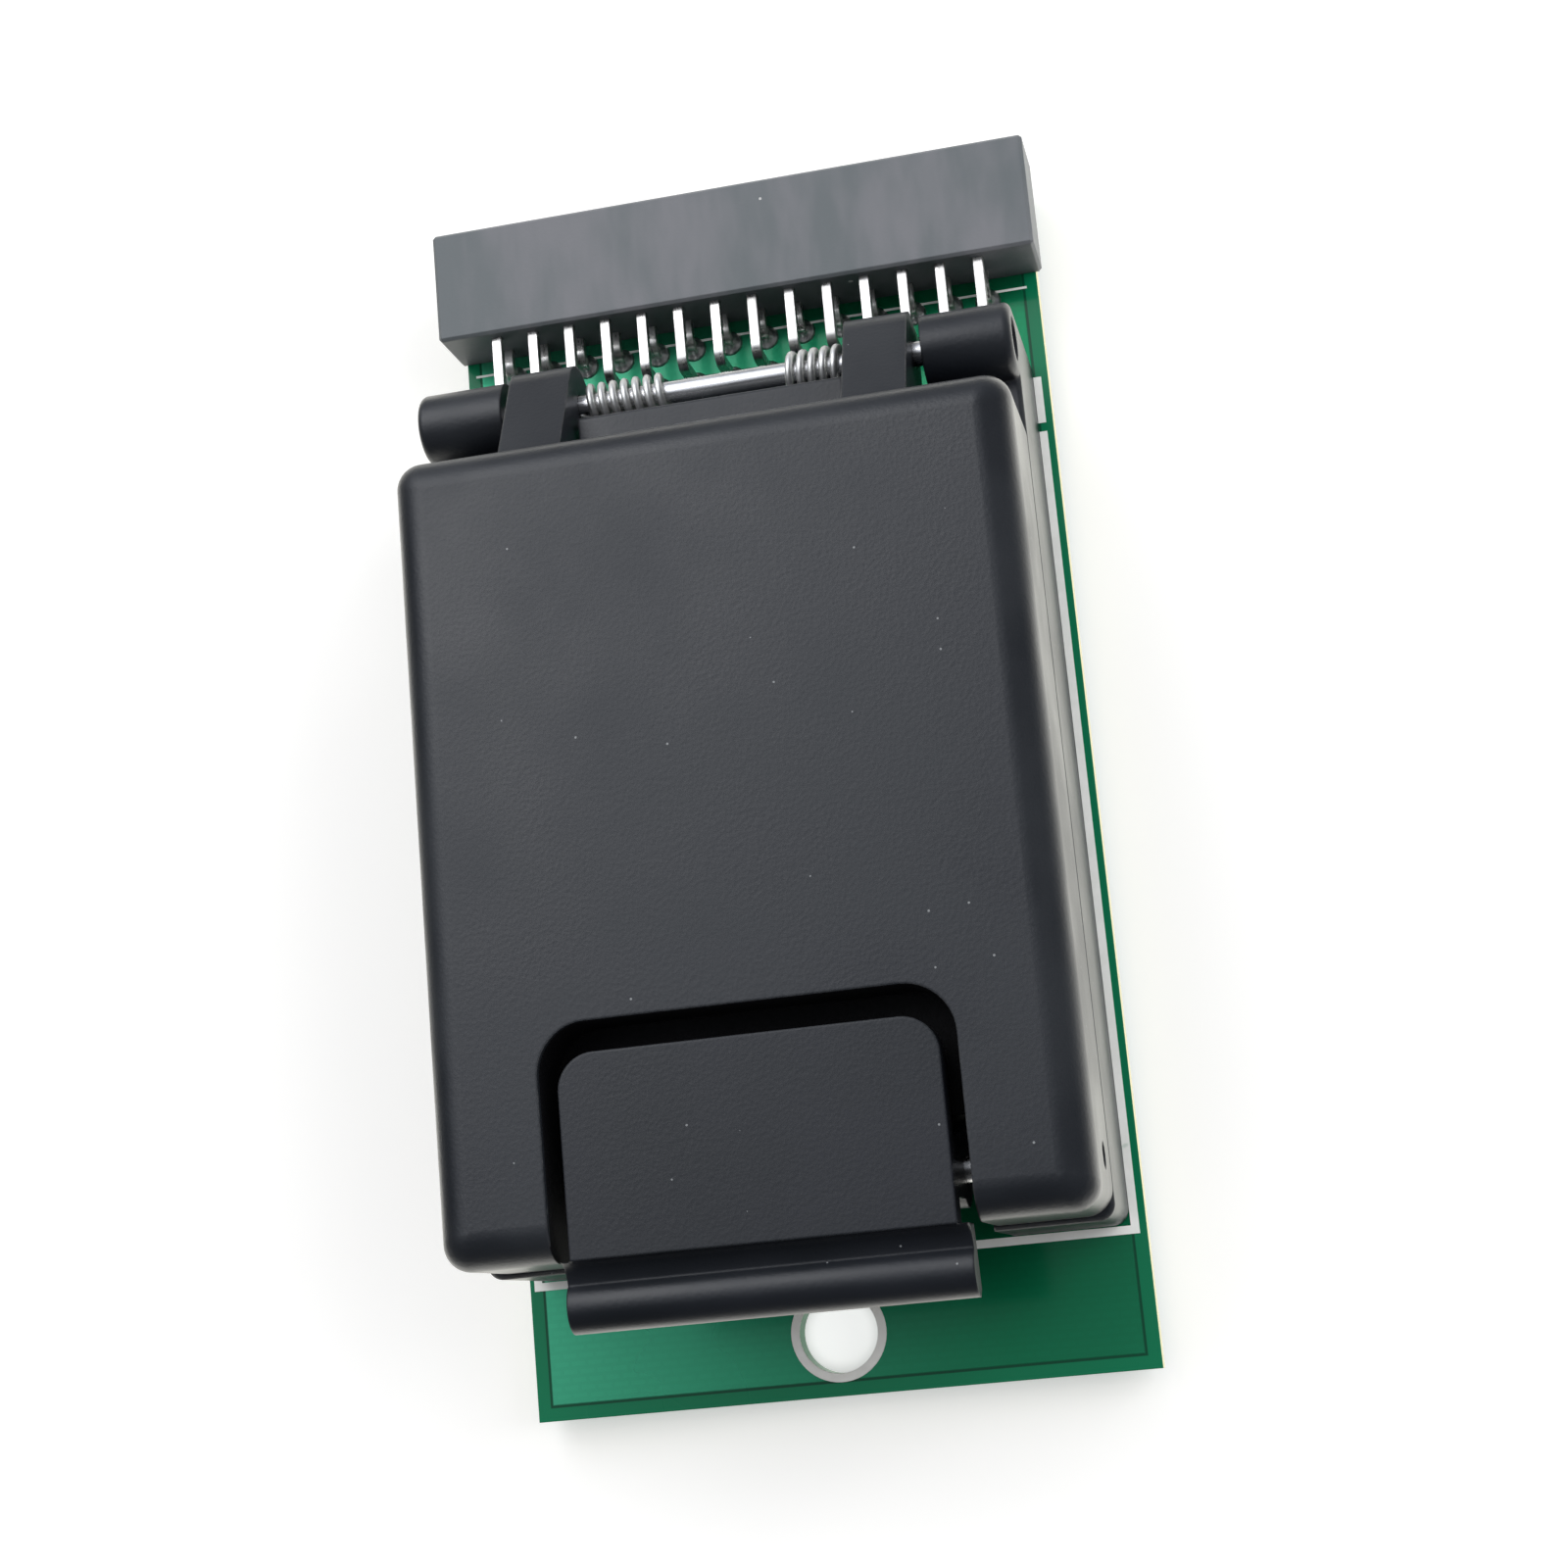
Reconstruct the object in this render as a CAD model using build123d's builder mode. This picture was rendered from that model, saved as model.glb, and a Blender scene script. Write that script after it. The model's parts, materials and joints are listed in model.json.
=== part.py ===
from build123d import *
import math
import os

# Adapter board for memory chips: a hinged chip socket, clamped shut by a sprung latch,
# and a right-angle two-row header on one circuit board. Lengths are in millimetres.
# The origin is on the surface that the adapter stands on, under the middle of its outline.
# +X runs along the header, +Y from the latch to the header, +Z up.

# Circuit board
board_margin = 0.7
header_gap = 6.35
board_thickness = 1.6
mount_hole_radius = 2.5
mount_pad_radius = 3.05
mount_hole_inset = 3.9
plating = 0.06

# Header
pin_pitch = 2.54
header_columns = 16
loaded_columns = 14
header_depth = 7.7
header_height = 4.95
header_overhang = 0.45
header_chamfer = 0.2
pin_side = 0.64
pin_bend_radius = 0.6
lower_row_height = 1.25
lower_foot_reach = 1.52
contact_wall = 1.6
cavity_side = 1.7
cavity_mouth = 0.95
cavity_mouth_depth = 0.8
leaf_thickness = 0.2
leaf_length = 3.6
tail_length = 1.2
solder_radius = 0.9
solder_height = 0.55
solder_taper = 30

# Socket outline, measured from the front edge and the top face of the board
socket_shift = -0.3
socket_width = 38.4
base_front = 8.8
base_setback = 1.5
base_height = 10.0
base_corner_radius = 1.0
base_edge_chamfer = 0.25
core_width = 3.2
core_length = 30.0
core_depth = 6.0
core_inset = 3.6
lid_front = 9.1
lid_setback = 4.6
lid_top = 19.6
lid_corner_radius = 1.6
lid_edge_radius = 2.2
lid_wall = 2.2
lid_roof = 3.0
parting_gap = 0.15

# Hinge
hinge_reach = 25.1
hinge_rise = 1.0
hinge_pin_radius = 0.8
barrel_radius = 2.3
ear_round = 0.5
knuckle_radius = 2.7
ear_width = 5.65
arm_play = 0.7
arm_width = 4.0
pin_chamfer = 0.15
pin_end_radius = 1.4
pin_end_depth = 0.5
ridge_thickness = 2.0
ridge_rise = 2.4
ridge_round = 0.3
slot_overlap = 0.5
arm_root = 1.0
arm_heel = 0.15
arm_drop = 1.9
arm_side_gap = 0.35
arm_floor_gap = 0.4
press_clearance = 0.02
running_clearance = 0.05

# Hinge springs
hinge_wire = 0.5
hinge_spring_clearance = 0.15
left_spring_turns = 7
left_spring_pitch = 0.75
right_spring_turns = 5
right_spring_pitch = 0.72
spring_end_gap = 0.4
spring_tang = 1.0
spring_leg = 5.0
wire_overlap = 0.05
spring_wire_sides = 6
coil_runs = 12

# Chip position and the parts that hold it
chip_width = 11.5
chip_length = 13.0
chip_play = 0.1
guide_wall_x = 6.25
guide_wall_y = 6.5
well_corner_radius = 1.5
flange_rim = 1.5
flange_height = 3.0
seat_clearance = 0.1
contact_block_height = 6.0
guide_height = 3.4
guide_lead_depth = 2.4
guide_lead_width = 2.2
finger_relief_radius = 3.2
finger_relief_length = 4.6
tip_pitch = 0.5
tip_columns = 13
tip_rows = 17
tip_side = 0.28
tip_rise = 0.3
tip_travel = 0.3
tip_window_depth = 0.75
tip_window_margin = 0.6
end_clearance = 0.02

# Pressure plate in the lid
plate_inset = 1.0
plate_gap = 1.1
plate_thickness = 2.4
plate_recess = 0.6
pusher_play = 0.3
pusher_corner_radius = 0.5
pusher_chamfer = 0.2
head_clearance = 0.2
pusher_reach = 1.0
plate_spring_radius = 2.0
plate_spring_wire = 0.4
plate_spring_turns = 4
plate_spring_pocket = 0.9
plate_spring_seat = 0.5
plate_spring_inset_x = 5.0
plate_spring_inset_y = 7.0
shoulder_radius = 1.0
shoulder_head_radius = 1.8
shoulder_head_height = 1.2
shoulder_inset = 2.4
shoulder_thread = 2.2
shoulder_thread_radius = 0.8

# Latch
latch_along = 12.35
latch_height = 13.5
latch_pin_radius = 0.8
latch_hub_radius = 2.2
latch_sink = 0.3
latch_width = 22.4
latch_length = 11.8
latch_thickness = 1.8
latch_corner_radius = 2.2
lip_front = 5.0
lip_extra = 0.6
leg_inset = 2.2
leg_front = 9.2
leg_thickness = 1.8
leg_bottom = 4.2
nose_depth = 0.5
nose_height = 1.7
catch_gap = 0.1
catch_height = 6.7
catch_pocket = 1.4
notch_gap = 1.1
notch_rear_gap = 1.8
notch_corner_radius = 3.0
notch_drop = 2.3
notch_play = 1.3
recess_step = 0.3
pocket_margin = 1.0
latch_wire = 0.4
latch_spring_clearance = 0.1
latch_spring_turns = 3.75
latch_spring_pitch = 0.9
latch_upper_leg = 2.1
latch_rear_leg = 2.7
latch_spring_bay = 5.0
bay_wall = 0.55
trunk_front = 10.6
trunk_rear = 14.1
dip_width = 1.35
dip_depth = 1.35
roll_width = 2.6
roll_drop = 0.9
roll_fall = 1.5
lip_edge = 0.5
nose_slope = 0.6

# Fasteners under the socket
screw_radius = 1.0
screw_head_radius = 1.9
screw_head_height = 1.5
screw_inset = 3.8
screw_front_inset = 7.7
screw_rear_inset = 7.6
screw_length = 6.0
insert_radius = 1.6
insert_length = 4.5
board_hole_clearance = 0.1
dowel_radius = 0.75
dowel_inset = 1.0
dowel_depth = 2.2
guide_screw_radius = 0.8
guide_screw_head_radius = 1.5
guide_screw_head_height = 0.8
guide_screw_length = 3.0
guide_screw_sink = 0.1
guide_screw_inset = 2.4
screw_head_chamfer = 0.35
drive_length = 1.8
drive_width = 0.4
drive_depth = 0.4

# Places that follow from the sizes
socket_half = socket_width / 2
board_width = socket_width + 2 * board_margin
board_top = screw_head_height + board_thickness
well_width = chip_width + 2 * guide_wall_x
well_length = chip_length + 2 * guide_wall_y
flange_width = well_width + 2 * flange_rim
flange_length = well_length + 2 * flange_rim
plate_width = well_width - 2 * plate_inset
plate_length = well_length - 2 * plate_inset
plate_spring_spacing_x = plate_width - 2 * plate_spring_inset_x
plate_spring_spacing_y = plate_length - 2 * plate_spring_inset_y
shoulder_spacing_x = plate_width - 2 * shoulder_inset
shoulder_spacing_y = plate_length - 2 * shoulder_inset
latch_rear = lid_front + latch_length
notch_rear = latch_rear + notch_rear_gap
cavity_front = notch_rear + lid_wall
chip_along = cavity_front + plate_gap + plate_length / 2
hinge_along = chip_along + hinge_reach
hinge_height = base_height + hinge_rise
header_front = hinge_along + barrel_radius + header_gap
board_length = header_front + header_depth - header_overhang
front_edge = -(board_length + header_overhang) / 2
header_width = header_columns * pin_pitch
lower_foot = header_front - lower_foot_reach
upper_foot = lower_foot - pin_pitch
upper_row_height = lower_row_height + pin_pitch
base_rear = hinge_along - base_setback
core_place = socket_half - core_inset
ear_inner = socket_half - ear_width
arm_outer = ear_inner - arm_play
arm_inner = arm_outer - arm_width
ridge_half = arm_inner - arm_side_gap
ridge_front = base_rear - ridge_thickness
ridge_height = hinge_height + ridge_rise
lid_rear = hinge_along - lid_setback
arm_slot_front = lid_rear - slot_overlap
lid_bottom = base_height + parting_gap
lid_ceiling = lid_top - lid_roof
guide_top = contact_block_height + guide_height
guide_head_top = guide_top - guide_screw_sink
guide_head_bottom = guide_head_top - guide_screw_head_height
guide_screw_shank = guide_head_bottom - contact_block_height + guide_screw_length
plate_bottom = lid_bottom + plate_recess
plate_top = plate_bottom + plate_thickness
pusher_bottom = contact_block_height + pusher_reach
leg_back = leg_front + leg_thickness
nose_back = leg_back + nose_depth
catch_face = nose_back + catch_gap
latch_half = latch_width / 2
latch_top = lid_top - latch_sink
plate_underside = latch_top - latch_thickness
leg_width = latch_width - 2 * leg_inset
notch_width = latch_width + 2 * notch_gap
notch_half = notch_width / 2
notch_floor = plate_underside - notch_drop
notch_through = trunk_rear + notch_play
screw_places = [
    (side * (socket_half - screw_inset), y)
    for side in (-1, 1)
    for y in (base_front + screw_front_inset, base_rear - screw_rear_inset)
]
dowel_places = [(side * (well_width / 2 - dowel_inset), chip_along) for side in (-1, 1)]
guide_screw_places = [
    (
        side * (well_width / 2 - guide_screw_inset),
        chip_along + side * (well_length / 2 - guide_screw_inset),
    )
    for side in (-1, 1)
]
plate_spring_bottom = plate_top - plate_spring_seat + end_clearance + plate_spring_wire / 2
plate_spring_top = lid_ceiling + plate_spring_pocket - end_clearance - plate_spring_wire / 2
spring_start = arm_inner - spring_end_gap
spring_places = [
    (
        socket_shift + side * plate_spring_spacing_x / 2,
        front_edge + chip_along + end * plate_spring_spacing_y / 2,
        board_top + plate_spring_bottom,
    )
    for side in (-1, 1)
    for end in (-1, 1)
]
hinge_coil_radius = hinge_pin_radius + hinge_spring_clearance + hinge_wire / 2
latch_coil_radius = latch_pin_radius + latch_spring_clearance + latch_wire / 2
column_places = [
    (column - (loaded_columns - 1) / 2) * pin_pitch for column in range(loaded_columns)
]

# Planes that the pieces are drawn on: local x and y are measured from the board's
# middle and front edge, or y and z in the side planes
board_plane = Plane(origin=(0, front_edge, board_top))
socket_plane = Plane(origin=(socket_shift, front_edge, board_top))
board_side = Plane(origin=(0, front_edge, board_top), x_dir=(0, 1, 0), z_dir=(1, 0, 0))
socket_side = Plane(
    origin=(socket_shift, front_edge, board_top), x_dir=(0, 1, 0), z_dir=(1, 0, 0)
)


# Board, with the socket's screw and dowel holes, the header's pin holes and the mounting hole
with BuildPart() as circuit_board:
    with BuildSketch(board_plane.offset(-board_thickness)):
        with Locations((0, board_length / 2)):
            Rectangle(board_width, board_length)
        with Locations((0, mount_hole_inset)):
            Circle(mount_hole_radius, mode=Mode.SUBTRACT)
        with Locations(*[(x, y) for x in column_places for y in (lower_foot, upper_foot)]):
            Rectangle(pin_side, pin_side, mode=Mode.SUBTRACT)
    extrude(amount=board_thickness)
    with BuildSketch(socket_plane.offset(-board_thickness)):
        with Locations(*screw_places):
            Circle(screw_radius + board_hole_clearance)
        with Locations(*dowel_places):
            Circle(dowel_radius + press_clearance)
    extrude(amount=board_thickness, mode=Mode.SUBTRACT)
circuit_board.part.label = "circuit_board"

# Pads round the mounting hole, one on each face of the board
with BuildPart() as mount_ring:
    for pad_level in (0, -board_thickness - plating):
        with BuildSketch(board_plane.offset(pad_level)):
            with Locations((0, mount_hole_inset)):
                Circle(mount_pad_radius)
                Circle(mount_hole_radius, mode=Mode.SUBTRACT)
        extrude(amount=plating)
mount_ring.part.label = "mount_ring"

# Header housing: a cavity with a small square mouth for every contact, in two rows, open at
# the rear, and a slot in the front wall where each loaded contact comes out
with BuildPart() as header_housing:
    with BuildSketch(board_plane):
        with Locations((0, header_front + header_depth / 2)):
            Rectangle(header_width, header_depth)
    extrude(amount=header_height)
    upright_edges = header_housing.edges().filter_by(Axis.Z)
    chamfer(upright_edges + header_housing.edges().group_by(Axis.Z)[-1], length=header_chamfer)
    mating_face = Plane(
        origin=(0, front_edge + header_front + header_depth, board_top),
        x_dir=(-1, 0, 0),
        z_dir=(0, 1, 0),
    )
    row_middle = lower_row_height + pin_pitch / 2
    with BuildSketch(mating_face):
        with Locations((0, row_middle)):
            with GridLocations(pin_pitch, pin_pitch, header_columns, 2):
                Rectangle(cavity_mouth, cavity_mouth)
    extrude(amount=-(header_depth - contact_wall), mode=Mode.SUBTRACT)
    with BuildSketch(mating_face.offset(-cavity_mouth_depth)):
        with Locations((0, row_middle)):
            with GridLocations(pin_pitch, pin_pitch, header_columns, 2):
                Rectangle(cavity_mouth, cavity_side)
    extrude(amount=cavity_mouth_depth + contact_wall - header_depth, mode=Mode.SUBTRACT)
    with BuildSketch(mating_face.offset(-header_depth)):
        with Locations((0, row_middle)):
            with GridLocations(pin_pitch, pin_pitch, loaded_columns, 2):
                Rectangle(pin_side, pin_side)
    extrude(amount=contact_wall, mode=Mode.SUBTRACT)
header_housing.part.label = "header_housing"


# Header contact: a square tail that leaves the housing, bends down and goes through the
# board, and inside the housing two leaves that grip a pin
def header_contact(row_height, foot):
    spread = cavity_side / 2 - press_clearance
    root = header_front + contact_wall
    root_end = root + pin_side
    grip_end = root + leaf_length
    with BuildPart() as contact:
        with BuildSketch(board_side):
            with BuildLine():
                FilletPolyline(
                    (root_end, row_height),
                    (foot, row_height),
                    (foot, -board_thickness - tail_length),
                    radius=pin_bend_radius,
                )
            trace(line_width=pin_side)
            for side in (-1, 1):
                with BuildLine():
                    Polyline(
                        (root, row_height),
                        (root, row_height + side * spread),
                        (root_end, row_height + side * spread),
                        (grip_end, row_height + side * pin_side / 2),
                        (grip_end, row_height + side * (pin_side / 2 - leaf_thickness)),
                        (root_end, row_height + side * (spread - leaf_thickness)),
                        (root_end, row_height),
                        close=True,
                    )
                make_face()
        extrude(amount=pin_side / 2, both=True)
    return contact.part


with BuildPart() as header_contacts_upper:
    with Locations(*[(x, 0, 0) for x in column_places]):
        add(header_contact(upper_row_height, upper_foot))
header_contacts_upper.part.label = "header_contacts_upper"

with BuildPart() as header_contacts_lower:
    with Locations(*[(x, 0, 0) for x in column_places]):
        add(header_contact(lower_row_height, lower_foot))
header_contacts_lower.part.label = "header_contacts_lower"

# Solder fillet round one tail, on both faces of the board, and its copies
with BuildPart() as solder_joint:
    with BuildSketch(board_plane):
        RegularPolygon(solder_radius, 6)
    extrude(amount=solder_height, taper=solder_taper)
    with BuildSketch(board_plane.offset(-board_thickness)):
        RegularPolygon(solder_radius, 6)
    extrude(amount=-solder_height, taper=solder_taper)
    with BuildSketch(board_plane.offset(-board_thickness - solder_height)):
        Rectangle(pin_side, pin_side)
    extrude(amount=board_thickness + 2 * solder_height, mode=Mode.SUBTRACT)

with BuildPart() as solder_joints:
    with Locations(*[(x, y, 0) for x in column_places for y in (lower_foot, upper_foot)]):
        add(solder_joint.part)
solder_joints.part.label = "solder_joints"


# Hinge ear of the socket base: an upright with a rounded top, its outer edge rounded
with BuildPart() as hinge_ear:
    with BuildSketch(socket_side.offset(ear_inner)):
        with Locations((hinge_along, hinge_height)):
            Circle(barrel_radius)
        with Locations((hinge_along - barrel_radius, 0)):
            Rectangle(2 * barrel_radius, hinge_height, align=(Align.MIN, Align.MIN))
    extrude(amount=socket_half - ear_inner)
    outer_edges = hinge_ear.faces().sort_by(Axis.X)[-1].edges()
    fillet(outer_edges.sort_by(Axis.Z)[1:], radius=ear_round)

# Socket base: a block with a stepped well for the contact block, two ears that carry the
# hinge pin, slots between them for the lid's arms, and a catch for the latch in its front
with BuildPart() as socket_base:
    with BuildSketch(socket_plane):
        with Locations((0, (base_front + base_rear) / 2)):
            block = Rectangle(socket_width, base_rear - base_front)
        fillet(block.vertices().group_by(Axis.Y)[0], base_corner_radius)
    extrude(amount=base_height)
    chamfer(socket_base.edges().group_by(Axis.Z)[-1], length=base_edge_chamfer)
    add(hinge_ear.part)
    add(mirror(hinge_ear.part, about=socket_side, mode=Mode.PRIVATE))
    with BuildSketch(socket_plane.offset(hinge_height - knuckle_radius - arm_floor_gap)):
        with Locations((0, arm_slot_front)):
            Rectangle(2 * ear_inner, hinge_along, align=(Align.CENTER, Align.MIN))
    extrude(amount=base_height, mode=Mode.SUBTRACT)
    with BuildSketch(socket_plane):
        with Locations((0, arm_slot_front - slot_overlap)):
            Rectangle(
                2 * ridge_half,
                base_rear - arm_slot_front + slot_overlap,
                align=(Align.CENTER, Align.MIN),
            )
    extrude(amount=base_height)
    with BuildSketch(socket_plane.offset(base_height)):
        with Locations((0, ridge_front)):
            Rectangle(2 * ridge_half, base_rear - ridge_front, align=(Align.CENTER, Align.MIN))
    extrude(amount=ridge_height - base_height)
    fillet(socket_base.edges().filter_by(Axis.X).group_by(Axis.Z)[-1], radius=ridge_round)
    with BuildSketch(socket_plane):
        with Locations((0, base_front)):
            Rectangle(notch_width - 2 * recess_step, 2 * (catch_face - base_front))
    extrude(amount=base_height, mode=Mode.SUBTRACT)
    with BuildSketch(socket_plane.offset(leg_bottom - pocket_margin)):
        with Locations((0, catch_face)):
            Rectangle(leg_width + 2 * pocket_margin, 2 * catch_pocket)
    extrude(amount=catch_height - leg_bottom + pocket_margin, mode=Mode.SUBTRACT)
    with BuildSketch(socket_plane):
        with Locations((0, chip_along)):
            RectangleRounded(well_width, well_length, well_corner_radius)
    extrude(amount=base_height, mode=Mode.SUBTRACT)
    with BuildSketch(socket_plane):
        with Locations((0, chip_along)):
            Rectangle(flange_width, flange_length)
    extrude(amount=flange_height, mode=Mode.SUBTRACT)
    with BuildSketch(socket_plane.offset(base_height - core_depth)):
        with Locations((-core_place, chip_along), (core_place, chip_along)):
            SlotOverall(core_length, core_width, rotation=90)
    extrude(amount=core_depth, mode=Mode.SUBTRACT)
    with BuildSketch(socket_plane):
        with Locations(*screw_places):
            Circle(insert_radius + press_clearance)
    extrude(amount=insert_length + press_clearance, mode=Mode.SUBTRACT)
    with BuildSketch(socket_side.offset(-socket_half)):
        with Locations((hinge_along, hinge_height)):
            Circle(hinge_pin_radius + press_clearance)
    extrude(amount=socket_width, mode=Mode.SUBTRACT)
    for side in (-1, 1):
        with BuildSketch(socket_side.offset(side * socket_half)):
            with Locations((hinge_along, hinge_height)):
                Circle(pin_end_radius)
        extrude(amount=-side * pin_end_depth, mode=Mode.SUBTRACT)
socket_base.part.label = "socket_base"

# Contact block: clamped by its flange under the base, with a shallow window for the tips
with BuildPart() as contact_block:
    with BuildSketch(socket_plane):
        with Locations((0, chip_along)):
            Rectangle(flange_width - 2 * seat_clearance, flange_length - 2 * seat_clearance)
    extrude(amount=flange_height)
    with BuildSketch(socket_plane.offset(flange_height)):
        with Locations((0, chip_along)):
            RectangleRounded(
                well_width - 2 * seat_clearance,
                well_length - 2 * seat_clearance,
                well_corner_radius - seat_clearance,
            )
    extrude(amount=contact_block_height - flange_height)
    with BuildSketch(socket_plane.offset(contact_block_height - tip_window_depth)):
        with Locations((0, chip_along)):
            Rectangle(
                (tip_columns - 1) * tip_pitch + tip_side + 2 * tip_window_margin,
                (tip_rows - 1) * tip_pitch + tip_side + 2 * tip_window_margin,
            )
    extrude(amount=tip_window_depth, mode=Mode.SUBTRACT)
    with BuildSketch(socket_plane.offset(contact_block_height)):
        with Locations(*guide_screw_places):
            Circle(guide_screw_radius + press_clearance)
    extrude(amount=-guide_screw_length, mode=Mode.SUBTRACT)
    with BuildSketch(socket_plane):
        with Locations(*dowel_places):
            Circle(dowel_radius + press_clearance)
    extrude(amount=dowel_depth, mode=Mode.SUBTRACT)
contact_block.part.label = "contact_block"

# Dowels that place the contact block on the board
with BuildPart() as locating_dowels:
    with BuildSketch(socket_plane.offset(-board_thickness)):
        with Locations(*dowel_places):
            Circle(dowel_radius)
    extrude(amount=board_thickness + dowel_depth)
locating_dowels.part.label = "locating_dowels"

# Tips of the spring probes: they stand out of the window and sink when a chip is pressed in
tip_bottom = contact_block_height - tip_window_depth + tip_travel + end_clearance
with BuildPart() as probe_tips:
    with BuildSketch(socket_plane.offset(tip_bottom)):
        with Locations((0, chip_along)):
            with GridLocations(tip_pitch, tip_pitch, tip_columns, tip_rows):
                Rectangle(tip_side, tip_side)
    extrude(amount=contact_block_height + tip_rise - tip_bottom)
probe_tips.part.label = "probe_tips"

# Chip guide: a frame with a pocket of the chip's outline, a sloped lead-in and two reliefs
# for lifting the chip out
with BuildPart() as chip_guide:
    with BuildSketch(socket_plane.offset(contact_block_height)):
        with Locations((0, chip_along)):
            RectangleRounded(
                well_width - 2 * seat_clearance,
                well_length - 2 * seat_clearance,
                well_corner_radius - seat_clearance,
            )
            Rectangle(chip_width + 2 * chip_play, chip_length + 2 * chip_play, mode=Mode.SUBTRACT)
    extrude(amount=guide_height)
    with BuildSketch(socket_plane.offset(guide_top)):
        with Locations((0, chip_along)):
            Rectangle(
                chip_width + 2 * (chip_play + guide_lead_width),
                chip_length + 2 * (chip_play + guide_lead_width),
            )
    extrude(
        amount=-guide_lead_depth,
        taper=math.degrees(math.atan(guide_lead_width / guide_lead_depth)),
        mode=Mode.SUBTRACT,
    )
    with BuildSketch(socket_plane.offset(guide_top)):
        with Locations((-chip_width / 2, chip_along), (chip_width / 2, chip_along)):
            SlotOverall(2 * finger_relief_length, 2 * finger_relief_radius)
    extrude(amount=-guide_lead_depth, mode=Mode.SUBTRACT)
    with BuildSketch(socket_plane.offset(contact_block_height)):
        with Locations(*guide_screw_places):
            Circle(guide_screw_radius + seat_clearance)
    extrude(amount=guide_height, mode=Mode.SUBTRACT)
    with BuildSketch(socket_plane.offset(guide_top)):
        with Locations(*guide_screw_places):
            Circle(guide_screw_head_radius + seat_clearance)
    extrude(amount=-guide_screw_head_height - guide_screw_sink, mode=Mode.SUBTRACT)
chip_guide.part.label = "chip_guide"


# Outline of the cross recesses in a group of screw heads
def cross_recess(head_plane, places):
    with BuildSketch(head_plane) as recess:
        with Locations(*places):
            Rectangle(drive_length, drive_width)
            Rectangle(drive_width, drive_length)
    return recess.sketch


# Screws of the chip guide
with BuildPart() as guide_screws:
    with BuildSketch(socket_plane.offset(guide_head_top)):
        with Locations(*guide_screw_places):
            Circle(guide_screw_head_radius)
    extrude(amount=-guide_screw_head_height)
    with BuildSketch(socket_plane.offset(guide_head_bottom)):
        with Locations(*guide_screw_places):
            Circle(guide_screw_radius)
    extrude(amount=-guide_screw_shank)
    recess = cross_recess(socket_plane.offset(guide_head_top), guide_screw_places)
    extrude(recess, amount=-drive_depth, mode=Mode.SUBTRACT)
guide_screws.part.label = "guide_screws"

# Threaded inserts in the underside of the base
with BuildPart() as threaded_inserts:
    with BuildSketch(socket_plane):
        with Locations(*screw_places):
            Circle(insert_radius)
            Circle(screw_radius + press_clearance, mode=Mode.SUBTRACT)
    extrude(amount=insert_length)
threaded_inserts.part.label = "threaded_inserts"

# Screws that hold the base from under the board: the adapter stands on their heads
with BuildPart() as socket_screws:
    under_board = socket_plane.offset(-board_thickness)
    with BuildSketch(under_board):
        with Locations(*screw_places):
            Circle(screw_head_radius)
    extrude(amount=-screw_head_height)
    chamfer(socket_screws.edges().group_by(Axis.Z)[0], length=screw_head_chamfer)
    with BuildSketch(under_board):
        with Locations(*screw_places):
            Circle(screw_radius)
    extrude(amount=screw_length)
    head_faces = Plane(
        origin=(socket_shift, front_edge, 0), x_dir=(1, 0, 0), z_dir=(0, 0, -1)
    )
    recess = cross_recess(head_faces, [(x, -y) for x, y in screw_places])
    extrude(recess, amount=-drive_depth, mode=Mode.SUBTRACT)
socket_screws.part.label = "socket_screws"

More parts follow.
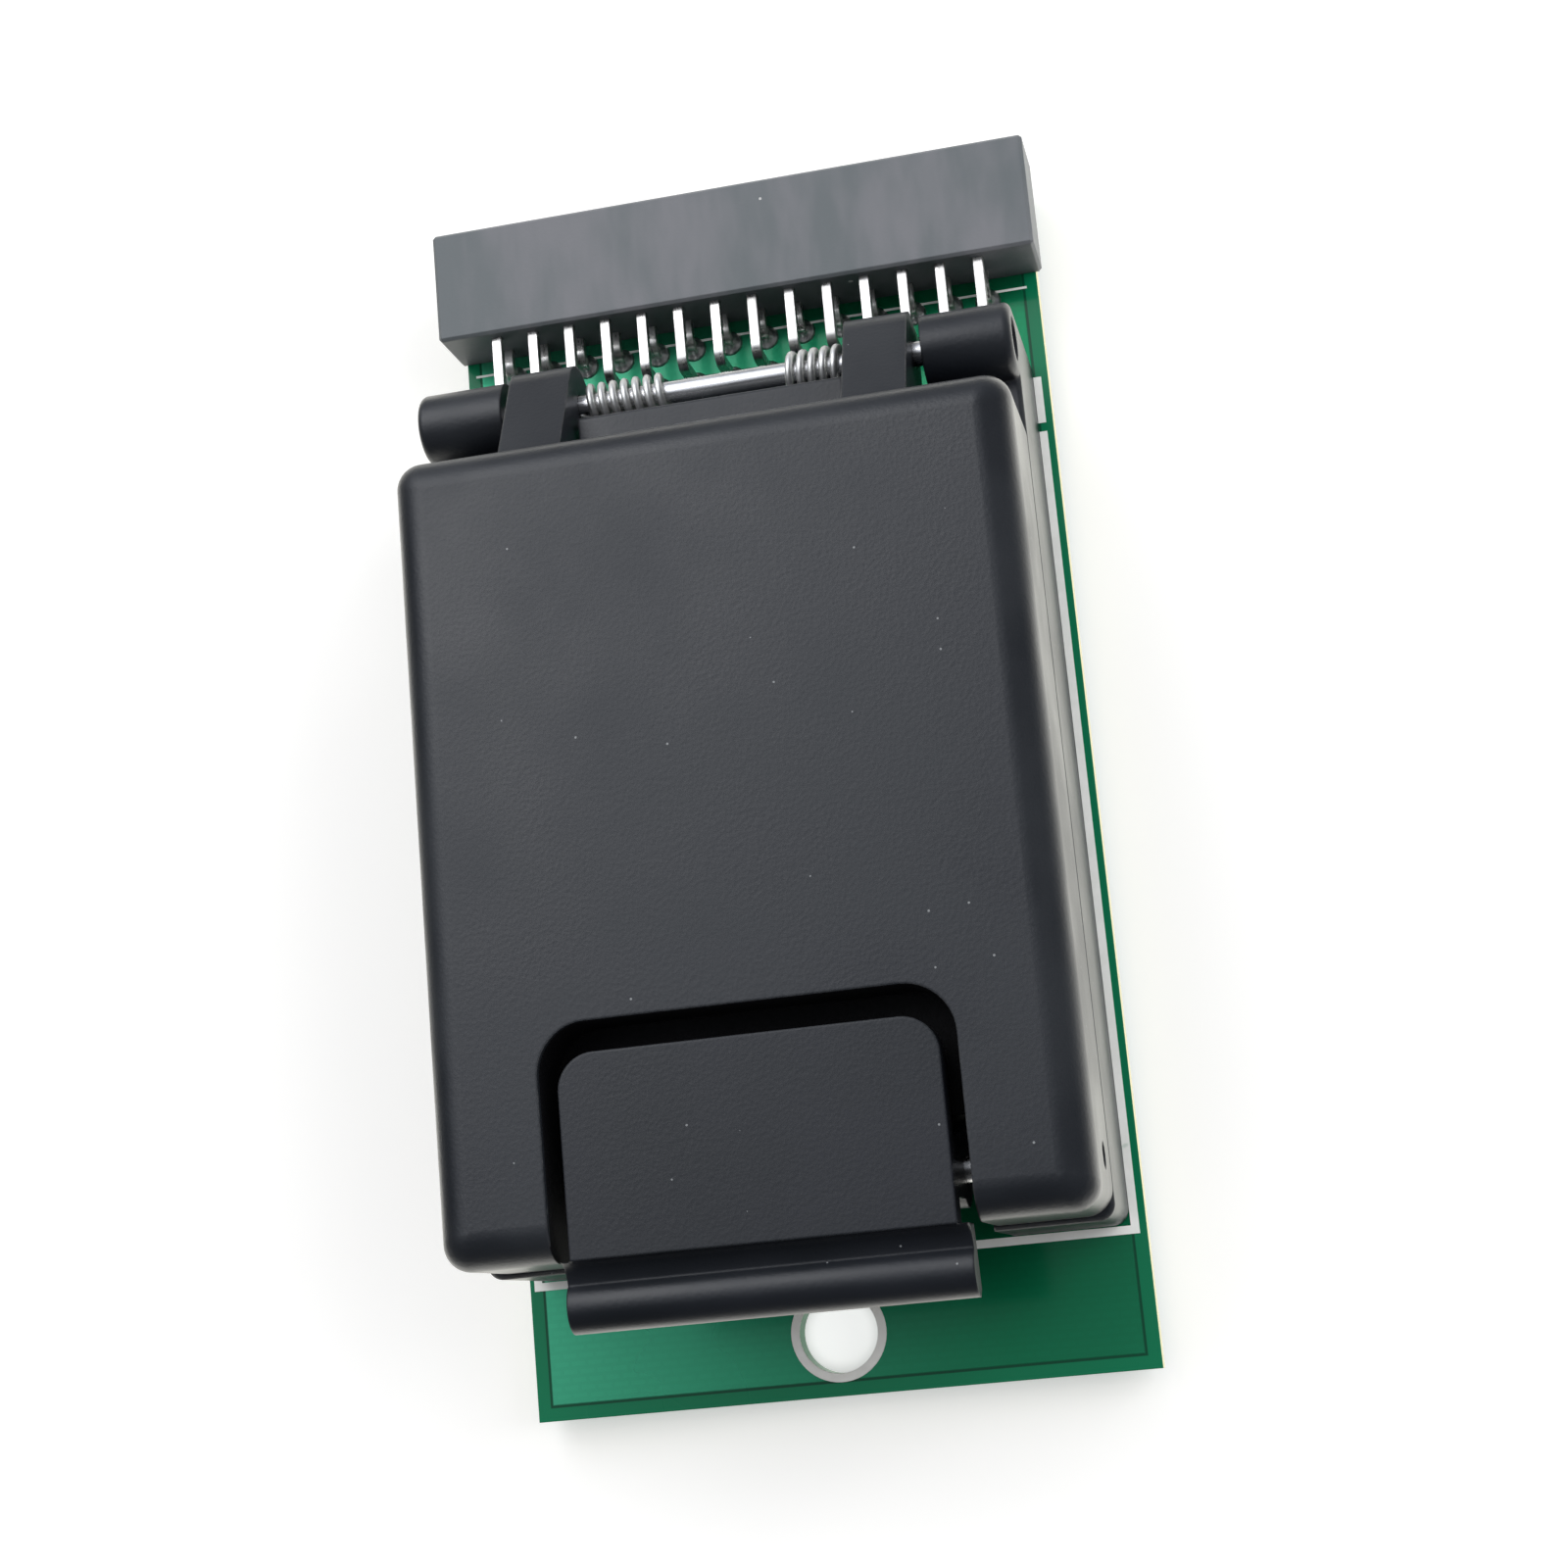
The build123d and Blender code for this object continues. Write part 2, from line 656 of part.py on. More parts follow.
# Lid: a domed-edge shell with two arms that reach the hinge pin, a notch for the latch and
# a cavity for the pressure plate
with BuildPart() as lid:
    with BuildSketch(socket_plane.offset(lid_bottom)):
        with Locations((0, (lid_front + lid_rear) / 2)):
            RectangleRounded(socket_width, lid_rear - lid_front, lid_corner_radius)
    extrude(amount=lid_top - lid_bottom)
    fillet(lid.edges().group_by(Axis.Z)[-1], radius=lid_edge_radius)
    for side in (-1, 1):
        with BuildSketch(socket_side.offset(side * arm_inner)) as arm_profile:
            with BuildLine():
                CenterArc((hinge_along, hinge_height), knuckle_radius, 0, 360)
                Line(
                    (lid_rear - arm_root, lid_bottom + arm_heel),
                    (lid_rear - arm_root, lid_top - arm_drop),
                )
            make_hull()
        extrude(amount=side * arm_width)
    with BuildSketch(socket_plane.offset(lid_bottom)):
        with Locations((0, cavity_front)):
            Rectangle(
                socket_width - 2 * lid_wall,
                lid_rear - lid_wall - cavity_front,
                align=(Align.CENTER, Align.MIN),
            )
    extrude(amount=lid_ceiling - lid_bottom, mode=Mode.SUBTRACT)
    with BuildSketch(socket_plane.offset(notch_floor)):
        with Locations((0, lid_front)):
            notch = Rectangle(notch_width, 2 * (notch_rear - lid_front))
        fillet(notch.vertices().group_by(Axis.Y)[-1], notch_corner_radius)
    extrude(amount=lid_top - notch_floor, mode=Mode.SUBTRACT)
    with BuildSketch(socket_plane.offset(lid_bottom)):
        with Locations((0, lid_front)):
            Rectangle(notch_width, 2 * (notch_through - lid_front))
    extrude(amount=lid_top - lid_bottom, mode=Mode.SUBTRACT)
    with BuildSketch(socket_plane.offset(lid_bottom)):
        for side in (-1, 1):
            with Locations((side * (notch_half + lid_wall), notch_through + lid_wall)):
                Rectangle(
                    socket_half - notch_half - 2 * lid_wall,
                    cavity_front - notch_through - 2 * lid_wall,
                    align=(Align.MIN if side > 0 else Align.MAX, Align.MIN),
                )
    extrude(amount=lid_ceiling - lid_bottom, mode=Mode.SUBTRACT)
    with BuildSketch(socket_plane.offset(lid_ceiling)):
        with Locations((0, chip_along)):
            with GridLocations(plate_spring_spacing_x, plate_spring_spacing_y, 2, 2):
                Circle(plate_spring_radius + seat_clearance)
    extrude(amount=plate_spring_pocket, mode=Mode.SUBTRACT)
    with BuildSketch(socket_plane.offset(lid_ceiling)):
        with Locations((0, chip_along)):
            with GridLocations(shoulder_spacing_x, shoulder_spacing_y, 2, 2):
                Circle(shoulder_thread_radius + press_clearance)
    extrude(amount=shoulder_thread + press_clearance, mode=Mode.SUBTRACT)
    with BuildSketch(socket_side.offset(-arm_outer)):
        with Locations((hinge_along, hinge_height)):
            Circle(hinge_pin_radius + running_clearance)
    extrude(amount=2 * arm_outer, mode=Mode.SUBTRACT)
    for side in (-1, 1):
        with BuildSketch(socket_side.offset(side * arm_inner)):
            with Locations((hinge_along - hinge_coil_radius, hinge_height)):
                Circle(hinge_wire / 2 + press_clearance)
        extrude(amount=side * (spring_tang + press_clearance), mode=Mode.SUBTRACT)
    with BuildSketch(socket_side.offset(-socket_half)):
        with Locations((latch_along, latch_height)):
            Circle(latch_pin_radius + press_clearance)
    extrude(amount=socket_width, mode=Mode.SUBTRACT)
lid.part.label = "lid"


# Hinge pin, pressed into the ears
with BuildPart() as hinge_pin:
    with BuildSketch(socket_side.offset(pin_end_depth - socket_half)):
        with Locations((hinge_along, hinge_height)):
            Circle(hinge_pin_radius)
    extrude(amount=socket_width - 2 * pin_end_depth)
    chamfer(hinge_pin.edges().filter_by(GeomType.CIRCLE), length=pin_chamfer)
hinge_pin.part.label = "hinge_pin"


# Spring coil that climbs along +Z from the point (coil_radius, 0, 0), in straight runs
def coil_wire(coil_radius, wire, pitch, turns):
    steps = round(turns * coil_runs)
    climb = Plane(origin=(coil_radius, 0, 0), z_dir=(0, math.tau * coil_radius, pitch))
    with BuildPart() as coil:
        with BuildLine() as path:
            Polyline(
                *[
                    (
                        coil_radius * math.cos(math.tau * step / coil_runs),
                        coil_radius * math.sin(math.tau * step / coil_runs),
                        pitch * step / coil_runs,
                    )
                    for step in range(steps + 1)
                ]
            )
        with BuildSketch(climb) as section:
            RegularPolygon(wire / 2, spring_wire_sides)
        sweep(section.sketch, path=path.line, transition=Transition.RIGHT)
    return coil.part


# Torsion spring on the hinge pin, left hand: its tang sits in the arm at start_x, the coil
# runs inwards from there and its leg leaves the last turn downwards, behind the base
def torsion_spring(start_x, pitch, turns):
    with BuildPart() as spring:
        add(coil_wire(hinge_coil_radius, hinge_wire, pitch, turns))
        with BuildSketch(Plane.XY):
            with Locations((hinge_coil_radius, 0)):
                RegularPolygon(hinge_wire / 2, spring_wire_sides)
        extrude(amount=-spring_end_gap - spring_tang)
        with BuildSketch(Plane.XZ.offset(wire_overlap)):
            with Locations((hinge_coil_radius, pitch * turns)):
                RegularPolygon(hinge_wire / 2, spring_wire_sides)
        extrude(amount=-spring_leg)
    coil_plane = Plane(
        origin=(socket_shift + start_x, front_edge + hinge_along, board_top + hinge_height),
        x_dir=(0, -1, 0),
        z_dir=(1, 0, 0),
    )
    return spring.part.moved(coil_plane.location)


with BuildPart() as hinge_spring_left:
    add(torsion_spring(-spring_start, left_spring_pitch, left_spring_turns))
hinge_spring_left.part.label = "hinge_spring_left"

with BuildPart() as hinge_spring_right:
    right_spring = torsion_spring(-spring_start, right_spring_pitch, right_spring_turns)
    add(mirror(right_spring, about=socket_side, mode=Mode.PRIVATE))
hinge_spring_right.part.label = "hinge_spring_right"

# Pressure plate: a flange that the lid's springs push down, and a pusher that enters the
# chip guide
with BuildPart() as pressure_plate:
    with BuildSketch(socket_plane.offset(plate_bottom)):
        with Locations((0, chip_along)):
            RectangleRounded(plate_width, plate_length, well_corner_radius)
    extrude(amount=plate_thickness)
    with BuildSketch(socket_plane.offset(pusher_bottom)):
        with Locations((0, chip_along)):
            RectangleRounded(
                chip_width - 2 * pusher_play, chip_length - 2 * pusher_play, pusher_corner_radius
            )
    extrude(amount=plate_bottom - pusher_bottom)
    chamfer(pressure_plate.edges().group_by(Axis.Z)[0], length=pusher_chamfer)
    with BuildSketch(socket_plane.offset(plate_top)):
        with Locations((0, chip_along)):
            with GridLocations(plate_spring_spacing_x, plate_spring_spacing_y, 2, 2):
                Circle(plate_spring_radius + seat_clearance)
    extrude(amount=-plate_spring_seat, mode=Mode.SUBTRACT)
    with BuildSketch(socket_plane.offset(plate_bottom)):
        with Locations((0, chip_along)):
            with GridLocations(shoulder_spacing_x, shoulder_spacing_y, 2, 2):
                Circle(shoulder_head_radius + head_clearance)
    extrude(amount=shoulder_head_height, mode=Mode.SUBTRACT)
    with BuildSketch(socket_plane.offset(plate_bottom)):
        with Locations((0, chip_along)):
            with GridLocations(shoulder_spacing_x, shoulder_spacing_y, 2, 2):
                Circle(shoulder_radius + running_clearance)
    extrude(amount=plate_thickness, mode=Mode.SUBTRACT)
pressure_plate.part.label = "pressure_plate"

# Shoulder screws: the plate hangs on their heads and slides up their shoulders
with BuildPart() as shoulder_screws:
    for bottom, top, radius in (
        (plate_bottom, plate_bottom + shoulder_head_height, shoulder_head_radius),
        (plate_bottom + shoulder_head_height, lid_ceiling, shoulder_radius),
        (lid_ceiling, lid_ceiling + shoulder_thread, shoulder_thread_radius),
    ):
        with BuildSketch(socket_plane.offset(bottom)):
            with Locations((0, chip_along)):
                with GridLocations(shoulder_spacing_x, shoulder_spacing_y, 2, 2):
                    Circle(radius)
        extrude(amount=top - bottom)
    shoulder_heads = Plane(
        origin=(socket_shift, front_edge, board_top + plate_bottom),
        x_dir=(1, 0, 0),
        z_dir=(0, 0, -1),
    )
    shoulder_places = [
        (side * shoulder_spacing_x / 2, end * shoulder_spacing_y / 2 - chip_along)
        for side in (-1, 1)
        for end in (-1, 1)
    ]
    recess = cross_recess(shoulder_heads, shoulder_places)
    extrude(recess, amount=-drive_depth, mode=Mode.SUBTRACT)
shoulder_screws.part.label = "shoulder_screws"

# Springs between the lid's ceiling and the pressure plate
with BuildPart() as pressure_springs:
    with Locations(*spring_places):
        add(
            coil_wire(
                plate_spring_radius - plate_spring_wire / 2,
                plate_spring_wire,
                (plate_spring_top - plate_spring_bottom) / plate_spring_turns,
                plate_spring_turns,
            )
        )
pressure_springs.part.label = "pressure_springs"

# Latch: a lever on the latch pin. Its plate fills the lid's notch, its rolled lip is lifted
# by a finger, and its leg hangs in front of the base with a nose that faces the catch
with BuildPart() as latch:
    with BuildSketch(socket_side.offset(-latch_half)):
        with BuildLine():
            Polyline(
                (lid_front, latch_top),
                (latch_rear, latch_top),
                (latch_rear, plate_underside),
                (trunk_rear, plate_underside),
                (trunk_rear, latch_height),
                (trunk_front, latch_height),
                (trunk_front, plate_underside),
                (lid_front, plate_underside),
                close=True,
            )
        make_face()
        with Locations((latch_along, latch_height)):
            Circle(latch_hub_radius)
    extrude(amount=latch_width)
    rear_corners = latch.edges().filter_by(Axis.Z).group_by(Axis.Y)[-1]
    fillet(rear_corners, radius=latch_corner_radius)
    with BuildSketch(socket_side.offset(-latch_half - lip_extra)):
        with BuildLine():
            dip = ThreePointArc(
                (lid_front, latch_top),
                (lid_front - dip_width / 3, latch_top - 2 * dip_depth / 3),
                (lid_front - dip_width, latch_top - dip_depth),
            )
            roll = ThreePointArc(
                dip @ 1,
                (lip_front + roll_width / 3, latch_top - roll_drop),
                (lip_front, latch_top - roll_drop - roll_fall),
            )
            Polyline(
                roll @ 1,
                (lip_front + lip_edge, latch_top - roll_drop - roll_fall - lip_edge),
                (lid_front, plate_underside - lip_edge),
                (lid_front, latch_top),
            )
        make_face()
    extrude(amount=latch_width + 2 * lip_extra)
    with BuildSketch(socket_side.offset(-leg_width / 2)):
        with BuildLine():
            Polyline(
                (leg_front, plate_underside),
                (leg_front, leg_bottom),
                (leg_back, leg_bottom),
                (nose_back, leg_bottom + nose_slope),
                (nose_back, leg_bottom + nose_height),
                (leg_back, leg_bottom + nose_height),
                (leg_back, latch_height),
                (trunk_rear, latch_height),
                (trunk_rear, plate_underside),
                close=True,
            )
        make_face()
    extrude(amount=leg_width)
    with BuildSketch(socket_side.offset(-latch_spring_bay / 2)):
        with Locations((latch_along - latch_hub_radius + bay_wall, latch_height)):
            Rectangle(
                2 * latch_hub_radius,
                2 * (latch_hub_radius + press_clearance),
                align=(Align.MIN, Align.CENTER),
            )
    extrude(amount=latch_spring_bay, mode=Mode.SUBTRACT)
    with BuildSketch(socket_side.offset(-latch_half - lip_extra)):
        with Locations((latch_along, latch_height)):
            Circle(latch_pin_radius + running_clearance)
    extrude(amount=latch_width + 2 * lip_extra, mode=Mode.SUBTRACT)
latch.part.label = "latch"

# Latch pin, held in the lid's side walls
with BuildPart() as latch_pin:
    with BuildSketch(socket_side.offset(pin_end_depth - socket_half)):
        with Locations((latch_along, latch_height)):
            Circle(latch_pin_radius)
    extrude(amount=socket_width - 2 * pin_end_depth)
    chamfer(latch_pin.edges().filter_by(GeomType.CIRCLE), length=pin_chamfer)
latch_pin.part.label = "latch_pin"

# Latch spring: one leg pushes up under the latch's trunk, the other reaches back to the lid
with BuildPart() as latch_wire_form:
    add(coil_wire(latch_coil_radius, latch_wire, latch_spring_pitch, latch_spring_turns))
    with BuildSketch(Plane.XZ.offset(-wire_overlap)):
        with Locations((latch_coil_radius, 0)):
            RegularPolygon(latch_wire / 2, spring_wire_sides)
    extrude(amount=latch_upper_leg)
    with BuildSketch(Plane.YZ.offset(-wire_overlap)):
        with Locations((-latch_coil_radius, latch_spring_pitch * latch_spring_turns)):
            RegularPolygon(latch_wire / 2, spring_wire_sides)
    extrude(amount=latch_rear_leg)
latch_coil_plane = Plane(
    origin=(
        socket_shift + latch_spring_pitch * latch_spring_turns / 2,
        front_edge + latch_along,
        board_top + latch_height,
    ),
    x_dir=(0, 1, 0),
    z_dir=(-1, 0, 0),
)
with BuildPart() as latch_spring:
    add(latch_wire_form.part.moved(latch_coil_plane.location))
latch_spring.part.label = "latch_spring"

# Every piece goes to its own file
os.makedirs("parts", exist_ok=True)
export_step(circuit_board.part, "parts/circuit_board.step")
export_step(mount_ring.part, "parts/mount_ring.step")
export_step(header_housing.part, "parts/header_housing.step")
export_step(header_contacts_upper.part, "parts/header_contacts_upper.step")
export_step(header_contacts_lower.part, "parts/header_contacts_lower.step")
export_step(solder_joints.part, "parts/solder_joints.step")
export_step(socket_base.part, "parts/socket_base.step")
export_step(contact_block.part, "parts/contact_block.step")
export_step(locating_dowels.part, "parts/locating_dowels.step")
export_step(probe_tips.part, "parts/probe_tips.step")
export_step(chip_guide.part, "parts/chip_guide.step")
export_step(guide_screws.part, "parts/guide_screws.step")
export_step(threaded_inserts.part, "parts/threaded_inserts.step")
export_step(socket_screws.part, "parts/socket_screws.step")
export_step(hinge_pin.part, "parts/hinge_pin.step")
export_step(hinge_spring_left.part, "parts/hinge_spring_left.step")
export_step(hinge_spring_right.part, "parts/hinge_spring_right.step")
export_step(lid.part, "parts/lid.step")
export_step(pressure_plate.part, "parts/pressure_plate.step")
export_step(pressure_springs.part, "parts/pressure_springs.step")
export_step(shoulder_screws.part, "parts/shoulder_screws.step")
export_step(latch.part, "parts/latch.step")
export_step(latch_pin.part, "parts/latch_pin.step")
export_step(latch_spring.part, "parts/latch_spring.step")
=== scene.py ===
import json

import bpy
import numpy as np
from mathutils import Matrix, Vector


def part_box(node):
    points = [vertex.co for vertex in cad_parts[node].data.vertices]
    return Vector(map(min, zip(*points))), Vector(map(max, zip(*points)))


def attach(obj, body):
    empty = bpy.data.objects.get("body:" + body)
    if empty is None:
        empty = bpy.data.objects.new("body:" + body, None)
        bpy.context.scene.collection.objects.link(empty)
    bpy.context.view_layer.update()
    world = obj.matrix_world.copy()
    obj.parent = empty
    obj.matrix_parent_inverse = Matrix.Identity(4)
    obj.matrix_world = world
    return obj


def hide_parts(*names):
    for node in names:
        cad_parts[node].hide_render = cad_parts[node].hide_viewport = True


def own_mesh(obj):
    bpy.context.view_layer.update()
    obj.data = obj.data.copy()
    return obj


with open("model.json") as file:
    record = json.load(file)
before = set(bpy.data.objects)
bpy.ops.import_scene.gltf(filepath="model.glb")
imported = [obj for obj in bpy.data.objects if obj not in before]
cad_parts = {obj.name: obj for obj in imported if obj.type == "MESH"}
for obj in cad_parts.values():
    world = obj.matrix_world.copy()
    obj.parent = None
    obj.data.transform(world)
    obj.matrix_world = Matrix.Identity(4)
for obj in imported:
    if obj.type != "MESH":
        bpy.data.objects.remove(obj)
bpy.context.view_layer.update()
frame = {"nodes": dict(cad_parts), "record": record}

scene = bpy.context.scene
nodes = frame["nodes"]
mm = 0.001  # the frame is in metres, and the object's own values below are in millimetres

# places that the pieces share
socketX = -0.3
frontEdge = -39.725
boardTop, boardThick = 3.1, 1.6
hingeY, hingeZ = frontEdge + 63.1, boardTop + 11.0
latchY, latchZ = frontEdge + 12.35, boardTop + 13.5
chipY = frontEdge + 38.0


def newGroup(name, inputs, outputs):
    # empty shader group: inputs are (name, kind, default) and outputs are (name, kind)
    group = bpy.data.node_groups.new(name, "ShaderNodeTree")
    for label, kind, value in inputs:
        socket = group.interface.new_socket(name=label, in_out="INPUT", socket_type=kind)
        socket.default_value = value
    for label, kind in outputs:
        group.interface.new_socket(name=label, in_out="OUTPUT", socket_type=kind)
    start = group.nodes.new("NodeGroupInput")
    end = group.nodes.new("NodeGroupOutput")
    return group, start, end


def put(tree, kind, values=None, **settings):
    # one node, its settings by name and its sockets by a dictionary
    made = tree.nodes.new(kind)
    for name, value in settings.items():
        setattr(made, name, value)
    for key, value in (values or {}).items():
        made.inputs[key].default_value = value
    return made


def join(tree, *pairs):
    # links given as (from socket, to socket)
    for source, target in pairs:
        tree.links.new(source, target)


def maths(tree, operation, a, b, clamp=False):
    # a Math node whose two values are sockets or numbers
    made = put(tree, "ShaderNodeMath", operation=operation, use_clamp=clamp)
    for place, value in enumerate((a, b)):
        if isinstance(value, (int, float)):
            made.inputs[place].default_value = value
        else:
            tree.links.new(value, made.inputs[place])
    return made.outputs[0]


def ramp(tree, value, low, high, toLow=0.0, toHigh=1.0):
    # value taken from low..high to toLow..toHigh with soft ends
    made = put(tree, "ShaderNodeMapRange", {
        "From Min": low, "From Max": high, "To Min": toLow, "To Max": toHigh,
    }, interpolation_type="SMOOTHSTEP")
    join(tree, (value, made.inputs["Value"]))
    return made.outputs["Result"]


def noiseRamp(tree, value, toLow=0.0, toHigh=1.0, half=0.2):
    # a noise, whose values gather round 0.5, spread over toLow..toHigh
    return ramp(tree, value, 0.5 - half, 0.5 + half, toLow, toHigh)


def mixColor(tree, factor, first, second):
    # Mix node for colours: the factor is a socket, each colour a socket or a plain value
    made = put(tree, "ShaderNodeMix", data_type="RGBA")
    for place, value in ((0, factor), (6, first), (7, second)):
        if isinstance(value, bpy.types.NodeSocket):
            tree.links.new(value, made.inputs[place])
        else:
            made.inputs[place].default_value = (*value, 1.0)
    return made.outputs[2]


def edgeWearGroup():
    # how far a rounded normal departs from the flat one, broken up by noise
    group, start, end = newGroup(
        "edgeWear",
        [("Radius", "NodeSocketFloat", 0.15 * mm), ("Gain", "NodeSocketFloat", 3.0),
         ("Break Scale", "NodeSocketFloat", 900.0)],
        [("Mask", "NodeSocketFloat"), ("Normal", "NodeSocketVector")],
    )
    bareBelow, wornAbove = 0.35, 0.7  # values of the noise between which the wear sets in
    bevel = put(group, "ShaderNodeBevel", samples=6)
    geometry = put(group, "ShaderNodeNewGeometry")
    dot = put(group, "ShaderNodeVectorMath", operation="DOT_PRODUCT")
    place = put(group, "ShaderNodeTexCoord")
    noise = put(group, "ShaderNodeTexNoise", {"Detail": 4.0, "Roughness": 0.65})
    join(
        group,
        (start.outputs["Radius"], bevel.inputs["Radius"]),
        (bevel.outputs["Normal"], dot.inputs[0]),
        (geometry.outputs["Normal"], dot.inputs[1]),
        (place.outputs["Object"], noise.inputs["Vector"]),
        (start.outputs["Break Scale"], noise.inputs["Scale"]),
    )
    bent = maths(group, "SUBTRACT", 1.0, dot.outputs["Value"])
    strong = maths(group, "MULTIPLY", bent, start.outputs["Gain"], clamp=True)
    broken = ramp(group, noise.outputs["Fac"], bareBelow, wornAbove)
    mask = maths(group, "MULTIPLY", strong, broken, clamp=True)
    join(group, (mask, end.inputs["Mask"]), (bevel.outputs["Normal"], end.inputs["Normal"]))
    return group


def mouldGrainGroup():
    # eroded mould texture: fine pits over a slight unevenness that may be drawn out
    group, start, end = newGroup(
        "mouldGrain",
        [("Scale", "NodeSocketFloat", 5000.0), ("Sink Scale", "NodeSocketFloat", 110.0),
         ("Stretch", "NodeSocketVector", (1.0, 1.0, 1.0))],
        [("Height", "NodeSocketFloat"), ("Blotch", "NodeSocketFloat")],
    )
    pitShare = 0.5
    place = put(group, "ShaderNodeTexCoord")
    drawnOut = put(group, "ShaderNodeVectorMath", operation="MULTIPLY")
    fine = put(group, "ShaderNodeTexNoise", {"Detail": 5.0, "Roughness": 0.7})
    pits = put(group, "ShaderNodeTexVoronoi", feature="F1")
    broad = put(group, "ShaderNodeTexNoise", {"Detail": 3.0, "Roughness": 0.55})
    join(
        group,
        (place.outputs["Object"], fine.inputs["Vector"]),
        (place.outputs["Object"], pits.inputs["Vector"]),
        (place.outputs["Object"], drawnOut.inputs[0]),
        (start.outputs["Stretch"], drawnOut.inputs[1]),
        (drawnOut.outputs["Vector"], broad.inputs["Vector"]),
        (start.outputs["Scale"], fine.inputs["Scale"]),
        (start.outputs["Scale"], pits.inputs["Scale"]),
        (start.outputs["Sink Scale"], broad.inputs["Scale"]),
    )
    pit = maths(group, "MULTIPLY", pits.outputs["Distance"], pitShare)
    height = maths(group, "ADD", fine.outputs["Fac"], pit)
    join(group, (height, end.inputs["Height"]), (broad.outputs["Fac"], end.inputs["Blotch"]))
    return group


def speckGroup():
    # sparse dust specks, as a mask
    group, start, end = newGroup(
        "specks",
        [("Scale", "NodeSocketFloat", 700.0), ("Size", "NodeSocketFloat", 0.065),
         ("Share", "NodeSocketFloat", 0.12)],
        [("Mask", "NodeSocketFloat")],
    )
    place = put(group, "ShaderNodeTexCoord")
    cells = put(group, "ShaderNodeTexVoronoi", feature="F1")
    pick = put(group, "ShaderNodeSeparateColor")
    join(
        group,
        (place.outputs["Object"], cells.inputs["Vector"]),
        (start.outputs["Scale"], cells.inputs["Scale"]),
        (cells.outputs["Color"], pick.inputs["Color"]),
    )
    near = maths(group, "LESS_THAN", cells.outputs["Distance"], start.outputs["Size"])
    chosen = maths(group, "LESS_THAN", pick.outputs["Red"], start.outputs["Share"])
    mask = maths(group, "MULTIPLY", near, chosen)
    join(group, (mask, end.inputs["Mask"]))
    return group


def drawnGroup():
    # fine lines along one axis, as drawing, turning or brushing leaves them
    group, start, end = newGroup(
        "drawnLines",
        [("Stretch", "NodeSocketVector", (1.0, 1.0, 1.0)), ("Scale", "NodeSocketFloat", 4000.0)],
        [("Height", "NodeSocketFloat"), ("Blotch", "NodeSocketFloat")],
    )
    place = put(group, "ShaderNodeTexCoord")
    stretched = put(group, "ShaderNodeVectorMath", operation="MULTIPLY")
    lines = put(group, "ShaderNodeTexNoise", {"Detail": 3.0, "Roughness": 0.6})
    broad = put(group, "ShaderNodeTexNoise", {"Scale": 260.0, "Detail": 3.0})
    join(
        group,
        (place.outputs["Object"], stretched.inputs[0]),
        (start.outputs["Stretch"], stretched.inputs[1]),
        (stretched.outputs["Vector"], lines.inputs["Vector"]),
        (start.outputs["Scale"], lines.inputs["Scale"]),
        (place.outputs["Object"], broad.inputs["Vector"]),
        (lines.outputs["Fac"], end.inputs["Height"]),
        (broad.outputs["Fac"], end.inputs["Blotch"]),
    )
    return group


edgeWear = edgeWearGroup()
mouldGrain = mouldGrainGroup()
specks = speckGroup()
drawnLines = drawnGroup()


def useGroup(tree, group, values):
    # places a shared group in a material with its own values
    made = tree.nodes.new("ShaderNodeGroup")
    made.node_tree = group
    for key, value in values.items():
        made.inputs[key].default_value = value
    return made


def startMaterial(name):
    # new material with only its output and a Principled shader
    material = bpy.data.materials.new(name)
    material.use_nodes = True
    tree = material.node_tree
    return material, tree, tree.nodes["Principled BSDF"]


def addBump(tree, shader, height, strength, depth, normal=None):
    # bump of a depth in millimetres, over the worn edges' rounded normal where there is one
    bump = put(tree, "ShaderNodeBump", {"Strength": strength, "Distance": depth * mm})
    join(tree, (height, bump.inputs["Height"]), (bump.outputs["Normal"], shader.inputs["Normal"]))
    if normal is not None:
        join(tree, (normal, bump.inputs["Normal"]))


def boxDepth(tree, middle, half):
    # how far inside a box of the object's own space a point lies, along X, Y and Z
    place = put(tree, "ShaderNodeTexCoord")
    centred = put(tree, "ShaderNodeVectorMath", {1: middle}, operation="SUBTRACT")
    size = put(tree, "ShaderNodeVectorMath", operation="ABSOLUTE")
    inside = put(tree, "ShaderNodeVectorMath", {0: half}, operation="SUBTRACT")
    split = put(tree, "ShaderNodeSeparateXYZ")
    join(
        tree,
        (place.outputs["Object"], centred.inputs[0]),
        (centred.outputs["Vector"], size.inputs[0]),
        (size.outputs["Vector"], inside.inputs[1]),
        (inside.outputs["Vector"], split.inputs["Vector"]),
    )
    return split.outputs["X"], split.outputs["Y"], split.outputs["Z"]


def boxMask(tree, middle, half):
    # 1 inside a box given in millimetres, 0 outside
    x, y, z = boxDepth(tree, [value * mm for value in middle], [value * mm for value in half])
    flat = maths(tree, "MINIMUM", x, y)
    return maths(tree, "GREATER_THAN", maths(tree, "MINIMUM", flat, z), 0.0)


